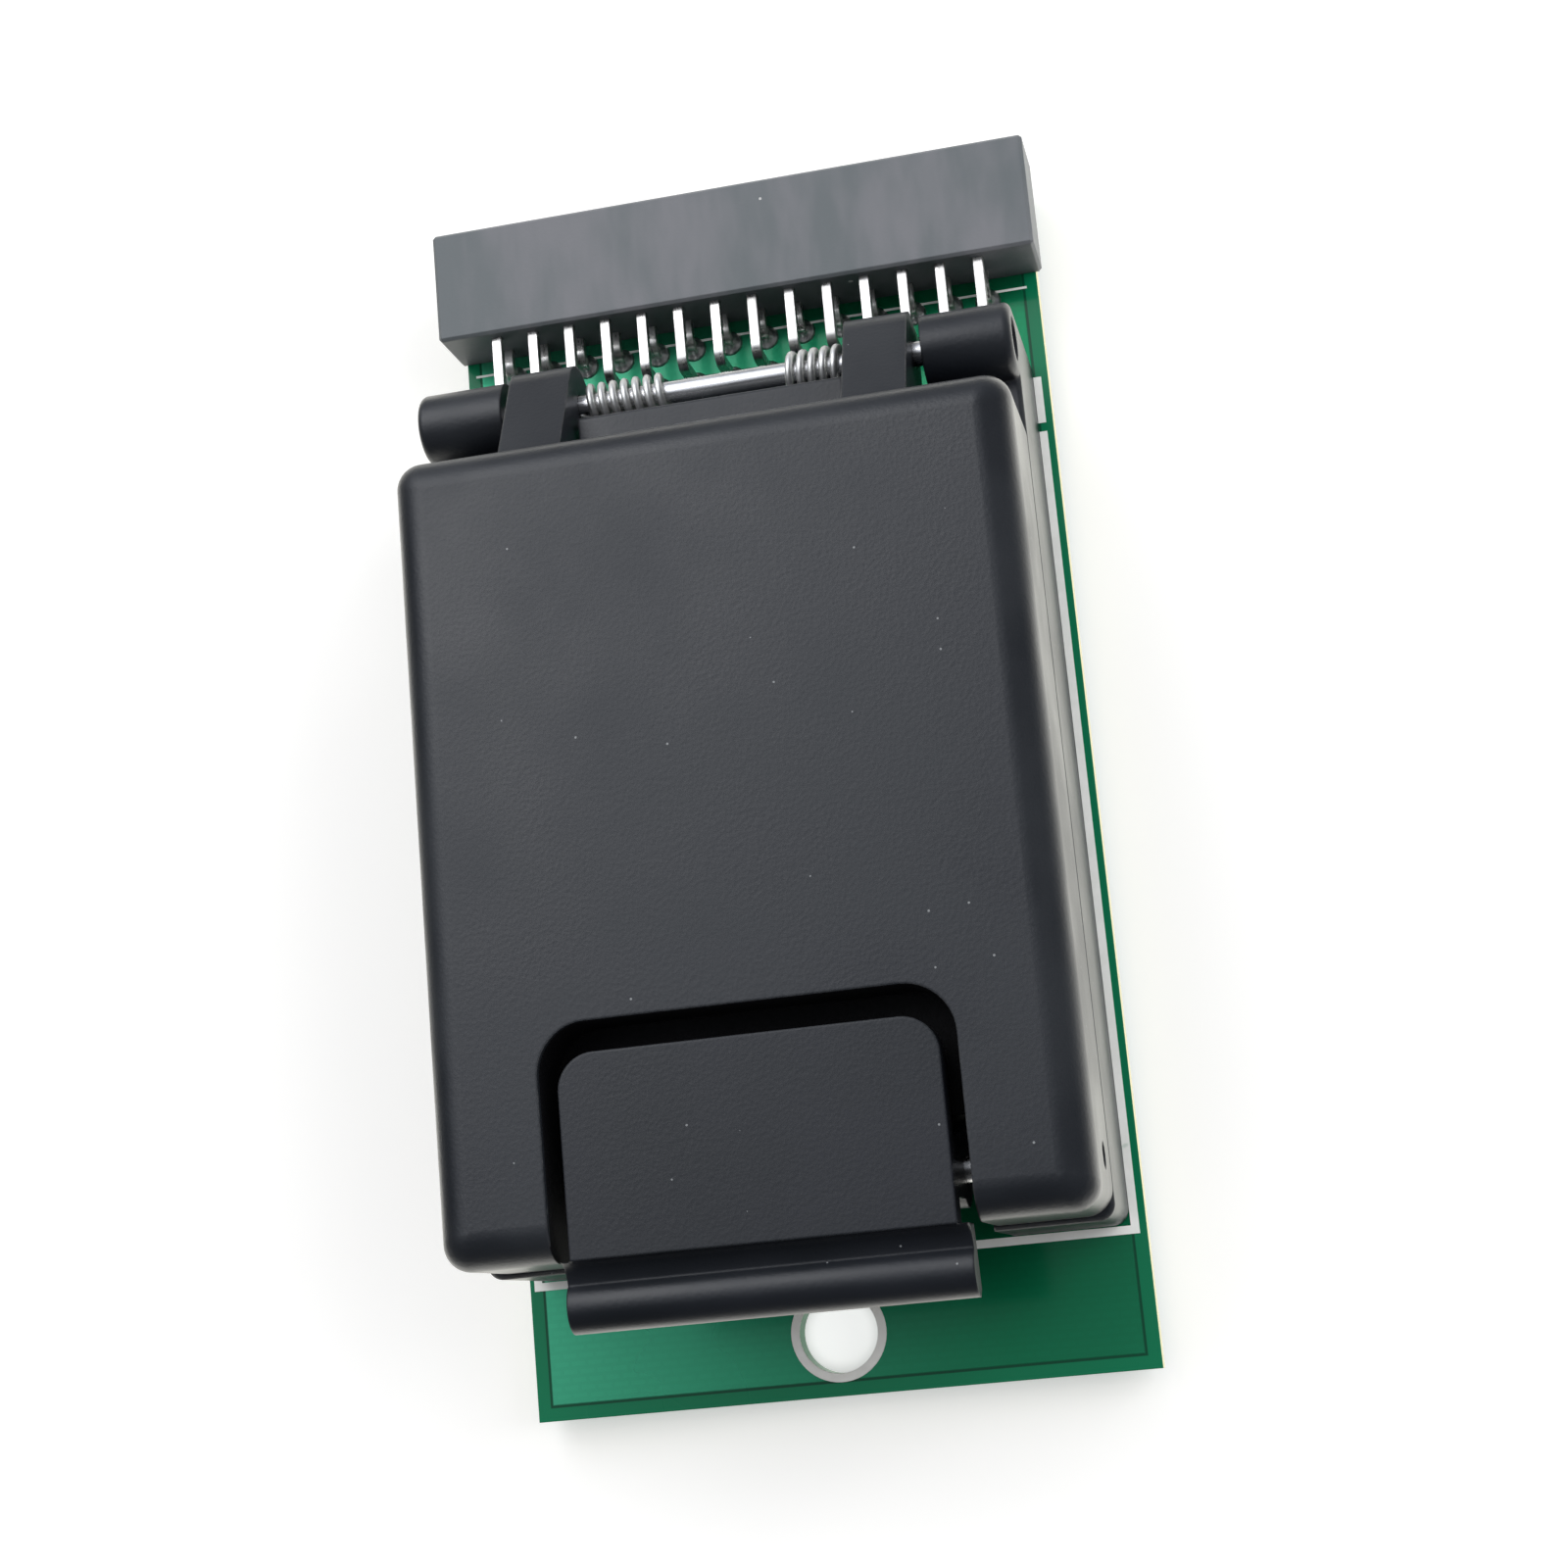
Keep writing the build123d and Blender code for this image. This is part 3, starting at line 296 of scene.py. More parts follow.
def plasticMaterial(name, look):
    # moulded plastic: grain, uneven gloss, paler worn edges and a little dust
    material, tree, shader = startMaterial(name)
    grain = useGroup(tree, mouldGrain, {
        "Scale": look["grain"], "Sink Scale": look["blotches"], "Stretch": look["stretch"],
    })
    wear = useGroup(tree, edgeWear, {"Radius": look["round"] * mm, "Gain": look["wear"]})
    dust = useGroup(tree, specks, {"Scale": look["dustScale"], "Share": look["dust"]})
    blotch = grain.outputs["Blotch"]
    base = mixColor(tree, noiseRamp(tree, blotch), look["dark"], look["pale"])
    worn = mixColor(tree, wear.outputs["Mask"], base, look["edge"])
    shown = mixColor(tree, dust.outputs["Mask"], worn, look["speck"])
    gloss = noiseRamp(tree, blotch, look["smooth"], look["rough"], half=0.25)
    if "recess" in look:  # painted shade down in the latch's notch: a darker colour there, and rougher walls
        recess = boxMask(tree, *look["recess"])
        coarse = maths(tree, "MULTIPLY", recess, look["coarse"])
        gloss = maths(tree, "ADD", gloss, coarse, clamp=True)
        shown = mixColor(tree, recess, shown, look["deep"])
    join(tree, (shown, shader.inputs["Base Color"]), (gloss, shader.inputs["Roughness"]))
    addBump(tree, shader, grain.outputs["Height"], look["bump"], look["depth"],
            wear.outputs["Normal"])
    shader.inputs["IOR"].default_value = look["ior"]
    return material


plasticLook = {"stretch": (1.0, 1.0, 1.0), "depth": 0.02, "ior": 1.5}
housingLook = {
    **plasticLook, "grain": 3600.0, "blotches": 95.0, "round": 0.22, "wear": 2.2,
    "dust": 0.12, "dustScale": 900.0, "dark": (0.009, 0.011, 0.015),
    "pale": (0.016, 0.019, 0.024), "edge": (0.075, 0.077, 0.08), "speck": (0.2, 0.21, 0.22),
    "smooth": 0.31, "rough": 0.47, "bump": 0.55,
    "recess": ((-0.3, -24.5, 20.2), (12.36, 7.5, 2.1)),  # middle and half size of the notch
    # painted shade: the near-black colour given to the latch's notch, and the roughness added
    # there
    "deep": (0.002, 0.002, 0.003), "coarse": 0.5,
}
# painted shade: a darker copy of the housing plastic, so that the latch reads darker than the lid
shadedLatchLook = {
    **plasticLook, "grain": 3800.0, "blotches": 90.0, "round": 0.2, "wear": 0.7,
    "dust": 0.14, "dustScale": 960.0, "dark": (0.006, 0.008, 0.011),
    "pale": (0.01, 0.012, 0.017), "edge": (0.05, 0.052, 0.056), "speck": (0.18, 0.19, 0.2),
    "smooth": 0.31, "rough": 0.42, "bump": 0.45, "ior": 1.49,
}
headerLook = {
    **plasticLook, "grain": 4200.0, "blotches": 300.0, "stretch": (1.0, 0.3, 1.0),
    "round": 0.12, "wear": 2.5, "dust": 0.05, "dustScale": 380.0,
    "dark": (0.1, 0.116, 0.126), "pale": (0.16, 0.165, 0.182), "edge": (0.2, 0.2, 0.2),
    "speck": (0.5, 0.5, 0.5), "smooth": 0.5, "rough": 0.62, "bump": 0.5,
}
blockLook = {
    **plasticLook, "grain": 3500.0, "blotches": 130.0, "round": 0.1, "wear": 2.0,
    "dust": 0.02, "dustScale": 500.0, "dark": (0.13, 0.088, 0.05), "pale": (0.19, 0.13, 0.075),
    "edge": (0.3, 0.22, 0.14), "speck": (0.4, 0.36, 0.3), "smooth": 0.42, "rough": 0.55,
    "bump": 0.4,
}


def metalMaterial(name, look):
    # metal with drawn or turned lines, slight tarnish and brighter edges
    material, tree, shader = startMaterial(name)
    lines = useGroup(tree, drawnLines, {"Stretch": look["stretch"], "Scale": look["lines"]})
    wear = useGroup(tree, edgeWear, {"Radius": look["round"] * mm, "Gain": look["wear"]})
    tarnish = noiseRamp(tree, lines.outputs["Blotch"])
    base = mixColor(tree, tarnish, look["dark"], look["pale"])
    worn = mixColor(tree, wear.outputs["Mask"], base, look["edge"])
    gloss = noiseRamp(tree, lines.outputs["Height"], look["smooth"], look["rough"])
    join(tree, (worn, shader.inputs["Base Color"]), (gloss, shader.inputs["Roughness"]))
    addBump(tree, shader, lines.outputs["Height"], look["bump"], look["depth"],
            wear.outputs["Normal"])
    shader.inputs["Metallic"].default_value = look["metal"]
    return material


metalLook = {"stretch": (1.0, 1.0, 1.0), "wear": 3.0, "depth": 0.01, "metal": 1.0}
tinLook = {
    **metalLook, "stretch": (1.0, 0.12, 0.12), "lines": 3000.0, "round": 0.1,
    "dark": (0.6, 0.59, 0.56), "pale": (0.84, 0.83, 0.8), "edge": (0.95, 0.94, 0.92),
    "smooth": 0.22, "rough": 0.4, "bump": 0.25,
}
padLook = {
    **metalLook, "lines": 2400.0, "round": 0.06, "dark": (0.86, 0.85, 0.8),
    "pale": (0.95, 0.94, 0.9), "edge": (0.96, 0.95, 0.92), "smooth": 0.38, "rough": 0.52,
    "bump": 0.15, "metal": 0.35,
}
solderLook = {
    **metalLook, "lines": 2200.0, "round": 0.12, "dark": (0.72, 0.72, 0.71),
    "pale": (0.9, 0.9, 0.9), "edge": (0.95, 0.95, 0.95), "smooth": 0.28, "rough": 0.46,
    "bump": 0.3,
}
steelLook = {
    **metalLook, "stretch": (0.06, 1.0, 1.0), "lines": 5200.0, "round": 0.08,
    "dark": (0.7, 0.7, 0.7), "pale": (0.86, 0.86, 0.86), "edge": (0.92, 0.92, 0.92),
    "smooth": 0.18, "rough": 0.32, "bump": 0.2,
}
springLook = {
    **metalLook, "stretch": (0.3, 1.0, 1.0), "lines": 4200.0, "round": 0.06,
    "dark": (0.85, 0.85, 0.83), "pale": (0.95, 0.95, 0.93), "edge": (0.96, 0.96, 0.95),
    "smooth": 0.36, "rough": 0.5, "bump": 0.25,
}
goldLook = {
    **metalLook, "stretch": (1.0, 1.0, 0.2), "lines": 5000.0, "round": 0.04,
    "dark": (0.72, 0.5, 0.18), "pale": (0.88, 0.66, 0.3), "edge": (0.95, 0.78, 0.45),
    "smooth": 0.2, "rough": 0.34, "bump": 0.15,
}
brassLook = {
    **metalLook, "stretch": (1.0, 1.0, 0.1), "lines": 4500.0, "round": 0.08,
    "dark": (0.5, 0.36, 0.15), "pale": (0.68, 0.52, 0.25), "edge": (0.8, 0.66, 0.4),
    "smooth": 0.24, "rough": 0.42, "bump": 0.25,
}
plateLook = {
    **metalLook, "stretch": (0.05, 1.0, 1.0), "lines": 3600.0, "round": 0.12,
    "dark": (0.45, 0.455, 0.46), "pale": (0.6, 0.6, 0.61), "edge": (0.78, 0.78, 0.78),
    "smooth": 0.3, "rough": 0.46, "bump": 0.35,
}

boardLook = {
    "mask": (0.0003, 0.17, 0.066), "maskPale": (0.05, 0.37, 0.21), "speck": (0.45, 0.5, 0.45),
    "gap": (0.0005, 0.06, 0.028), "bare": (0.002, 0.17, 0.075),  # beyond the copper pour
    "laminate": (0.78, 0.72, 0.36), "fibre": (0.9, 0.86, 0.55),
    "pourInset": 1.0, "pourSoft": 0.05, "gapWidth": 0.2, "edgeSkin": 0.03,
    # painted light: over these X values the mask colour grows paler towards the left, standing in
    # for stronger light there
    "litSideTo": -20.0, "litSideFrom": 12.0, "litSideShare": 0.8, "blotchShare": 0.2,
    "grain": 2600.0, "blotches": 60.0, "round": 0.1, "wear": 2.0, "dust": 0.05,
    "dustScale": 500.0, "weaveWidth": 1.1, "weaveHeight": 0.5, "weaveLine": 0.12,
    "weaveShare": 0.05, "smooth": 0.26, "rough": 0.38, "cutRough": 0.45,
    "pourHeight": 0.8, "grainHeight": 0.25, "bump": 0.5, "depth": 0.03,
    "shine": 0.6, "specular": 0.1, "coat": 0.2, "coatRough": 0.1,
}


def boardMaterial(look):
    # green mask over a copper pour that stops short of the outline, laminate on the cut edge
    material, tree, shader = startMaterial("boardMask")
    low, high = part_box("circuit_board")
    deepX, deepY, deepZ = boxDepth(tree, [(a + b) / 2 for a, b in zip(low, high)],
                                   [(b - a) / 2 for a, b in zip(low, high)])
    fromEdge = maths(tree, "MINIMUM", deepX, deepY)
    pourEdge, gapEdge = look["pourInset"], look["pourInset"] - look["gapWidth"]
    pour = ramp(tree, fromEdge, (pourEdge - look["pourSoft"]) * mm,
                (pourEdge + look["pourSoft"]) * mm)
    gap = ramp(tree, fromEdge, gapEdge * mm, (gapEdge + look["pourSoft"]) * mm)
    skin = maths(tree, "LESS_THAN", fromEdge, look["edgeSkin"] * mm)
    deep = maths(tree, "GREATER_THAN", deepZ, look["edgeSkin"] * mm)
    cut = maths(tree, "MULTIPLY", skin, deep)

    grain = useGroup(tree, mouldGrain, {"Scale": look["grain"], "Sink Scale": look["blotches"]})
    wear = useGroup(tree, edgeWear, {"Radius": look["round"] * mm, "Gain": look["wear"]})
    dust = useGroup(tree, specks, {"Scale": look["dustScale"], "Share": look["dust"]})
    blotch = grain.outputs["Blotch"]
    place = put(tree, "ShaderNodeTexCoord")
    along = put(tree, "ShaderNodeSeparateXYZ")
    weave = put(tree, "ShaderNodeTexBrick", {
        "Scale": 1.0, "Mortar Size": look["weaveLine"] * mm,
        "Brick Width": look["weaveWidth"] * mm, "Row Height": look["weaveHeight"] * mm,
    })
    join(tree, (place.outputs["Object"], along.inputs["Vector"]),
         (place.outputs["Object"], weave.inputs["Vector"]))

    # painted light: the mask is paler towards the left, as light falls more strongly there, and
    # the weave shows faintly through it
    thinInkAndLitSide = ramp(tree, along.outputs["X"], look["litSideTo"] * mm, look["litSideFrom"] * mm,
                look["litSideShare"], 0.0)
    spread = noiseRamp(tree, blotch, 0.0, look["blotchShare"])
    green = mixColor(tree, maths(tree, "ADD", spread, thinInkAndLitSide, clamp=True), look["mask"],
                     look["maskPale"])
    strands = maths(tree, "MULTIPLY", weave.outputs["Fac"], look["weaveShare"])
    woven = mixColor(tree, strands, green, look["gap"])
    poured = mixColor(tree, pour, mixColor(tree, gap, look["bare"], look["gap"]), woven)
    worn = mixColor(tree, wear.outputs["Mask"], poured, look["maskPale"])
    faced = mixColor(tree, cut, worn, mixColor(tree, blotch, look["laminate"], look["fibre"]))
    dusty = mixColor(tree, dust.outputs["Mask"], faced, look["speck"])
    rough = maths(tree, "ADD", noiseRamp(tree, blotch, look["smooth"], look["rough"]),
                  maths(tree, "MULTIPLY", cut, look["cutRough"]), clamp=True)
    copper = maths(tree, "MULTIPLY", pour, look["shine"])  # it shines through the mask
    metallic = maths(tree, "MULTIPLY", copper, maths(tree, "SUBTRACT", 1.0, cut), clamp=True)
    height = maths(tree, "ADD", maths(tree, "MULTIPLY", pour, look["pourHeight"]),
                   maths(tree, "MULTIPLY", grain.outputs["Height"], look["grainHeight"]))
    join(
        tree,
        (dusty, shader.inputs["Base Color"]),
        (metallic, shader.inputs["Metallic"]),
        (rough, shader.inputs["Roughness"]),
    )
    addBump(tree, shader, height, look["bump"], look["depth"], wear.outputs["Normal"])
    shader.inputs["Specular IOR Level"].default_value = look["specular"]
    shader.inputs["Coat Weight"].default_value = look["coat"]
    shader.inputs["Coat Roughness"].default_value = look["coatRough"]
    return material


inkLook = {
    "pale": (0.95, 0.96, 0.94), "dark": (0.88, 0.9, 0.87), "thinInkAndLitSide": (0.5, 0.62, 0.54),
    "grain": 5000.0, "blotches": 700.0, "thinFrom": 0.3, "thinTo": 0.2, "thinShare": 0.7,
    "smooth": 0.5, "rough": 0.65, "bump": 0.4, "depth": 0.01,
}


def inkMaterial(look):
    # screen-printed white ink, a little thin in places
    material, tree, shader = startMaterial("boardInk")
    grain = useGroup(tree, mouldGrain, {"Scale": look["grain"], "Sink Scale": look["blotches"]})
    blotch = grain.outputs["Blotch"]
    base = mixColor(tree, noiseRamp(tree, blotch), look["dark"], look["pale"])
    thinInkAndLitSide = ramp(tree, blotch, look["thinFrom"], look["thinTo"], 0.0, look["thinShare"])
    inked = mixColor(tree, thinInkAndLitSide, base, look["thinInkAndLitSide"])
    gloss = noiseRamp(tree, blotch, look["smooth"], look["rough"])
    join(tree, (inked, shader.inputs["Base Color"]), (gloss, shader.inputs["Roughness"]))
    addBump(tree, shader, grain.outputs["Height"], look["bump"], look["depth"])
    return material


finishes = {
    "housing": plasticMaterial("housingPlastic", housingLook),
    "latch": plasticMaterial("shadedLatchPlastic", shadedLatchLook),
    "header": plasticMaterial("headerPlastic", headerLook),
    "block": plasticMaterial("socketBlock", blockLook),
    "board": boardMaterial(boardLook),
    "pad": metalMaterial("tinnedPad", padLook),
    "contact": metalMaterial("tinnedContact", tinLook),
    "solder": metalMaterial("brightSolder", solderLook),
    "steel": metalMaterial("groundSteel", steelLook),
    "spring": metalMaterial("springWire", springLook),
    "gold": metalMaterial("goldPlating", goldLook),
    "insert": metalMaterial("turnedBrass", brassLook),
    "plate": metalMaterial("satinAluminium", plateLook),
    "ink": inkMaterial(inkLook),
}
for entry in frame["record"]["subparts"]:
    mesh = nodes[entry["node"]].data
    mesh.materials.clear()
    # the latch takes the darker copy of the housing plastic, which paints shade on it
    finish = "latch" if entry["node"] == "latch" else entry["material_slot"]
    mesh.materials.append(finishes[finish])
print("materials done:", len(finishes))


def addPiece(name, points, faces, body, finish, slot, smooth=True):
    # mesh object from an array of points and a list of faces, riding on a body
    mesh = bpy.data.meshes.new(name)
    mesh.from_pydata(points.tolist(), [], [list(face) for face in faces])
    mesh.validate()
    mesh.update()
    mesh.polygons.foreach_set("use_smooth", np.full(len(mesh.polygons), smooth))
    piece = bpy.data.objects.new(name, mesh)
    scene.collection.objects.link(piece)
    mesh.materials.append(finishes[finish])
    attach(piece, body)
    return piece


def gridFaces(rows, columns):
    # quads between neighbouring rows, each row closed into a ring
    row, column = np.meshgrid(np.arange(rows - 1), np.arange(columns), indexing="ij")
    across = (column + 1) % columns
    quads = np.stack(
        [row * columns + column, row * columns + across,
         (row + 1) * columns + across, (row + 1) * columns + column], axis=-1)
    return quads.reshape(-1, 4)


def endCaps(rows, columns):
    # first ring turned over and last ring as it is, so that both flat ends face outwards
    ring = np.arange(columns)
    return np.stack([ring[::-1], ring + (rows - 1) * columns])


domes = np.array([[-0.9, 0.25], [-0.6, 0.75]])  # place and size of the rings at a wire's end


def wireTube(path, outward, radius, sides):
    # circle of the given radius carried along a path: at each point it is turned from the
    # outward direction about the tangent, and it shrinks to a small dome at both ends
    tangent = np.gradient(path, axis=0)
    tangent /= np.linalg.norm(tangent, axis=1)[:, None]
    across = np.cross(tangent, outward)
    across /= np.linalg.norm(across, axis=1)[:, None]
    upright = np.cross(across, tangent)
    rings = path[:1] + tangent[:1] * radius * domes[:, :1]
    ends = path[-1:] - tangent[-1:] * radius * domes[::-1, :1]
    centres = np.vstack([rings, path, ends])
    sizes = np.concatenate([domes[:, 1], np.ones(len(path)), domes[::-1, 1]]) * radius
    row = np.clip(np.arange(len(centres)) - len(domes), 0, len(path) - 1)
    angle = np.linspace(0, 2 * np.pi, sides, endpoint=False)
    ring = (np.cos(angle)[None, :, None] * upright[row][:, None, :]
            + np.sin(angle)[None, :, None] * across[row][:, None, :])
    points = centres[:, None, :] + ring * sizes[:, None, None]
    return points.reshape(-1, 3), gridFaces(len(centres), sides), endCaps(len(centres), sides)


def addWire(name, wires, spring, body):
    # one piece from several round wires, each given as its path and outward directions
    points, faces, count = [], [], 0
    for path, outward in wires:
        tube, quads, caps = wireTube(path, outward, spring["wire"] * mm, spring["sides"])
        points.append(tube)
        faces += (quads + count).tolist() + (caps + count).tolist()
        count += len(tube)
    return addPiece(name, np.vstack(points), faces, body, "spring", "spring")


def coil(turns, steps, radius, pitch):
    # helix: the angle runs evenly while the height climbs by one pitch a turn; returned with
    # the directions from its axis
    angle = np.linspace(0, 2 * np.pi * turns, int(turns * steps) + 1)
    outward = np.stack([np.cos(angle), np.sin(angle), 0 * angle], axis=1)
    return outward * radius + np.outer(pitch * angle / (2 * np.pi), (0, 0, 1)), outward


def withLegs(before, winding, around, after, turn, start):
    # coil between its two legs, turned from its own axes to the frame's and moved to start;
    # each leg keeps the outward direction of the coil's end that it leaves
    local = np.vstack([before, winding, after])
    outward = np.vstack([np.tile(around[:1], (len(before), 1)), around,
                         np.tile(around[-1:], (len(after), 1))])
    return (np.array(start) + local @ turn) * mm, outward @ turn


hingeSprings = {"wire": 0.25, "sides": 10, "radius": 1.2, "steps": 28, "start": 8.45,
                "tang": 1.4, "corner": 0.35, "bendSteps": 5, "legFrom": 0.3, "legTo": 5.0,
                "legSteps": 8, "left": {"side": -1, "turns": 7, "pitch": 0.75},
                "right": {"side": 1, "turns": 5, "pitch": 0.72}}


def hingeSpringPath(spring, side, turns, pitch):
    # the tang runs along X into the arm, turns through a short arc into the coil, and the
    # other end leaves the coil downwards behind the base
    radius, corner = spring["radius"], spring["corner"]
    winding, around = coil(turns, spring["steps"], radius, pitch)
    tang = np.array([[radius, -corner, -spring["tang"]], [radius, -corner, -spring["tang"] / 2]])
    blend = np.linspace(0, np.pi / 2, spring["bendSteps"], endpoint=False)
    bend = np.stack([np.full(len(blend), radius), -corner * (1 - np.sin(blend)),
                     -corner * np.cos(blend)], axis=1)
    fall = np.linspace(spring["legFrom"], spring["legTo"], spring["legSteps"])
    leg = np.stack([np.full(len(fall), radius), fall, np.full(len(fall), pitch * turns)], axis=1)
    turn = np.array([(0, -1, 0), (0, 0, -1), (-side, 0, 0)])  # where local x, y and z point
    start = (socketX + side * spring["start"], hingeY, hingeZ)
    return withLegs(np.vstack([tang, bend]), winding, around, leg, turn, start)


for name, node, own in (
    ("hingeSpringLeft", "hinge_spring_left", hingeSprings["left"]),
    ("hingeSpringRight", "hinge_spring_right", hingeSprings["right"]),
):
    wire = addWire(name, [hingeSpringPath(hingeSprings, **own)], hingeSprings, "adapter")
    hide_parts(node)

plateSprings = {"wire": 0.2, "sides": 8, "radius": 1.8, "bottom": 12.87, "top": 17.28,
                "turns": 5.5, "steps": 170, "closing": 0.81, "x": 6.0, "y": 5.0,
                "keep": 0.893}  # keep: share of the length left at the plate's stop


def plateSpringPath(spring, x, y):
    # closed turn at each end and open turns between: the height rises with the share of the
    # angle gone through, plus closing times the sine of 2 pi (share - 1/2) over 2 pi
    angle = np.linspace(0, 2 * np.pi * spring["turns"], spring["steps"])
    share = angle / angle[-1]
    rise = share + spring["closing"] * np.sin(2 * np.pi * (share - 0.5)) / (2 * np.pi)
    height = boardTop + spring["bottom"] + (spring["top"] - spring["bottom"]) * rise
    outward = np.stack([np.cos(angle), np.sin(angle), 0 * angle], axis=1)
    middle = np.stack([x + 0 * angle, y + 0 * angle, height], axis=1)
    return (middle + outward * spring["radius"]) * mm, outward


wires = [plateSpringPath(plateSprings, socketX + a * plateSprings["x"],
                         chipY + b * plateSprings["y"]) for a in (-1, 1) for b in (-1, 1)]
wire = addWire("plateSprings", wires, plateSprings, "lid")
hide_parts("pressure_springs")
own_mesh(wire)

latchSpring = {"wire": 0.2, "sides": 8, "radius": 1.1, "pitch": 0.9, "turns": 3.75, "steps": 24,
               "upper": 2.1, "rear": 2.65, "legFrom": 0.2, "legSteps": 6}


def latchSpringPath(spring):
    # upright leg at the rear of the coil, the coil, then a leg that runs back at its top
    radius, width, count = spring["radius"], spring["pitch"] * spring["turns"], spring["legSteps"]
    winding, around = coil(spring["turns"], spring["steps"], radius, spring["pitch"])
    rise = np.linspace(-spring["upper"], -spring["legFrom"], count)
    upper = np.stack([np.full(count, radius), rise, np.zeros(count)], axis=1)
    back = np.linspace(spring["legFrom"], spring["rear"], count)
    rear = np.stack([back, np.full(count, -radius), np.full(count, width)], axis=1)
    turn = np.array([(0, 1, 0), (0, 0, -1), (-1, 0, 0)])  # where local x, y and z point
    return withLegs(upper, winding, around, rear, turn, (socketX + width / 2, latchY, latchZ))


wire = addWire("latchSpring", [latchSpringPath(latchSpring)], latchSpring, "latch")
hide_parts("latch_spring")
print("springs done")


def turnedCopies(radius, height, sides, places, up):
    # profile turned about Z, x and y being the radius times the angle's cosine and sine, and
    # repeated: a copy's height is multiplied by up, 1 or -1, and its place is added; where
    # up is -1 its faces are turned over
    angle = np.linspace(0, 2 * np.pi, sides, endpoint=False)
    one = np.stack([radius[:, None] * np.cos(angle), radius[:, None] * np.sin(angle),
                    np.repeat(height[:, None], sides, axis=1)], axis=-1).reshape(-1, 3)
    points = np.repeat(one[None], len(places), axis=0)
    points[..., 2] *= up[:, None]
    points += places[:, None]
    first = (np.arange(len(places)) * len(one))[:, None, None]
    faces = []
    for pattern in (gridFaces(len(radius), sides), endCaps(len(radius), sides)):
        copies = pattern[None] + first
        copies = np.where(up[:, None, None] > 0, copies, copies[..., ::-1])
        faces += copies.reshape(-1, pattern.shape[1]).tolist()
    return points.reshape(-1, 3) * mm, faces


def spaced(count, pitch):
    # evenly spaced places on both sides of 0
    return (np.arange(count) - (count - 1) / 2) * pitch


solder = {"foot": 0.88, "neck": 0.4, "height": 0.52, "tip": 0.05, "tipRise": 0.02, "sides": 16,
          "rows": 7, "pitch": 2.54, "columns": 14, "lower": 70.23, "upper": 67.69}


def solderMesh(form):
    # concave cone: the radius falls from foot to neck with the square of the height left
    rise = np.linspace(0, 1, form["rows"])
    radius = form["neck"] + (form["foot"] - form["neck"]) * (1 - rise) ** 2
    radius = np.append(radius, form["tip"])
    height = np.append(rise * form["height"], form["height"] + form["tipRise"])
    column = spaced(form["columns"], form["pitch"])
    lines = (frontEdge + form["lower"], frontEdge + form["upper"])
    x, y, up = (axis.ravel() for axis in np.meshgrid(column, lines, (1.0, -1.0), indexing="ij"))
    places = np.column_stack([x, y, np.where(up > 0, boardTop, boardTop - boardThick)])
    return turnedCopies(radius, height, form["sides"], places, up)


fillets = addPiece("solderFillets", *solderMesh(solder), "adapter", "solder", "solder")
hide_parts("solder_joints")

probes = {"pitch": 0.5, "columns": 13, "rows": 17, "bottom": 5.57, "top": 6.3, "radius": 0.14,
          "tip": 0.05, "cone": 0.16, "middle": 0.0028, "sides": 8}


def probeMesh(form):
    # round pin with a cone and a small flat, repeated on the ball grid
    radius = np.array([form["radius"], form["radius"], form["tip"], form["middle"]])
    height = np.array([form["bottom"], form["top"] - form["cone"], form["top"], form["top"]])
    x, y = (axis.ravel() for axis in np.meshgrid(
        spaced(form["columns"], form["pitch"]), spaced(form["rows"], form["pitch"]),
        indexing="ij"))
    places = np.column_stack([socketX + x, chipY + y, np.full(len(x), boardTop)])
    return turnedCopies(radius, height, form["sides"], places, np.ones(len(x)))


tips = addPiece("probeTips", *probeMesh(probes), "probe_tips", "gold", "gold", smooth=False)
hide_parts("probe_tips")
print("solder and probes done")

# the outline's lines and the header's foot line, measured from the board's front edge
ink = {"width": 0.52, "thick": 0.03, "sunk": 0.01, "left": -19.35, "right": 19.18,
       "front": 8.48, "rear": 64.4, "breakStart": 60.6, "breakEnd": 61.2, "footRow": 70.78,
       "thinHalf": 0.08}


def stripBox(x0, y0, x1, y1, form):
    # printed strip between two corners, as the eight points of a thin box
    corners = np.array([(x0, y0), (x1, y0), (x1, y1), (x0, y1)]) + (0, frontEdge)
    under = np.column_stack([corners, np.full(4, boardTop - form["sunk"])])
    over = np.column_stack([corners, np.full(4, boardTop + form["thick"])])
    return np.vstack([under, over])


half = ink["width"] / 2
strips = [
    (ink["left"] - half, ink["front"] - half, ink["right"] + half, ink["front"] + half),
    (ink["right"] - half, ink["front"] + half, ink["right"] + half, ink["breakStart"]),
    (ink["right"] - half, ink["breakEnd"], ink["right"] + half, ink["rear"]),
    (ink["left"] - half, ink["front"] + half, ink["left"] + half, ink["rear"]),
    (ink["left"], ink["footRow"] - ink["thinHalf"], ink["right"],
     ink["footRow"] + ink["thinHalf"]),
]
points = np.vstack([stripBox(*strip, ink) for strip in strips]) * mm
sides = np.array([[4, 5, 6, 7], [3, 2, 1, 0], [0, 1, 5, 4], [1, 2, 6, 5], [2, 3, 7, 6],
                  [3, 0, 4, 7]])  # top, bottom and the four walls of one box
faces = (sides[None] + (np.arange(len(strips)) * 8)[:, None, None]).reshape(-1, 4)
addPiece("printedOutline", points, faces, "adapter", "ink", "board", smooth=False)
print("print done")

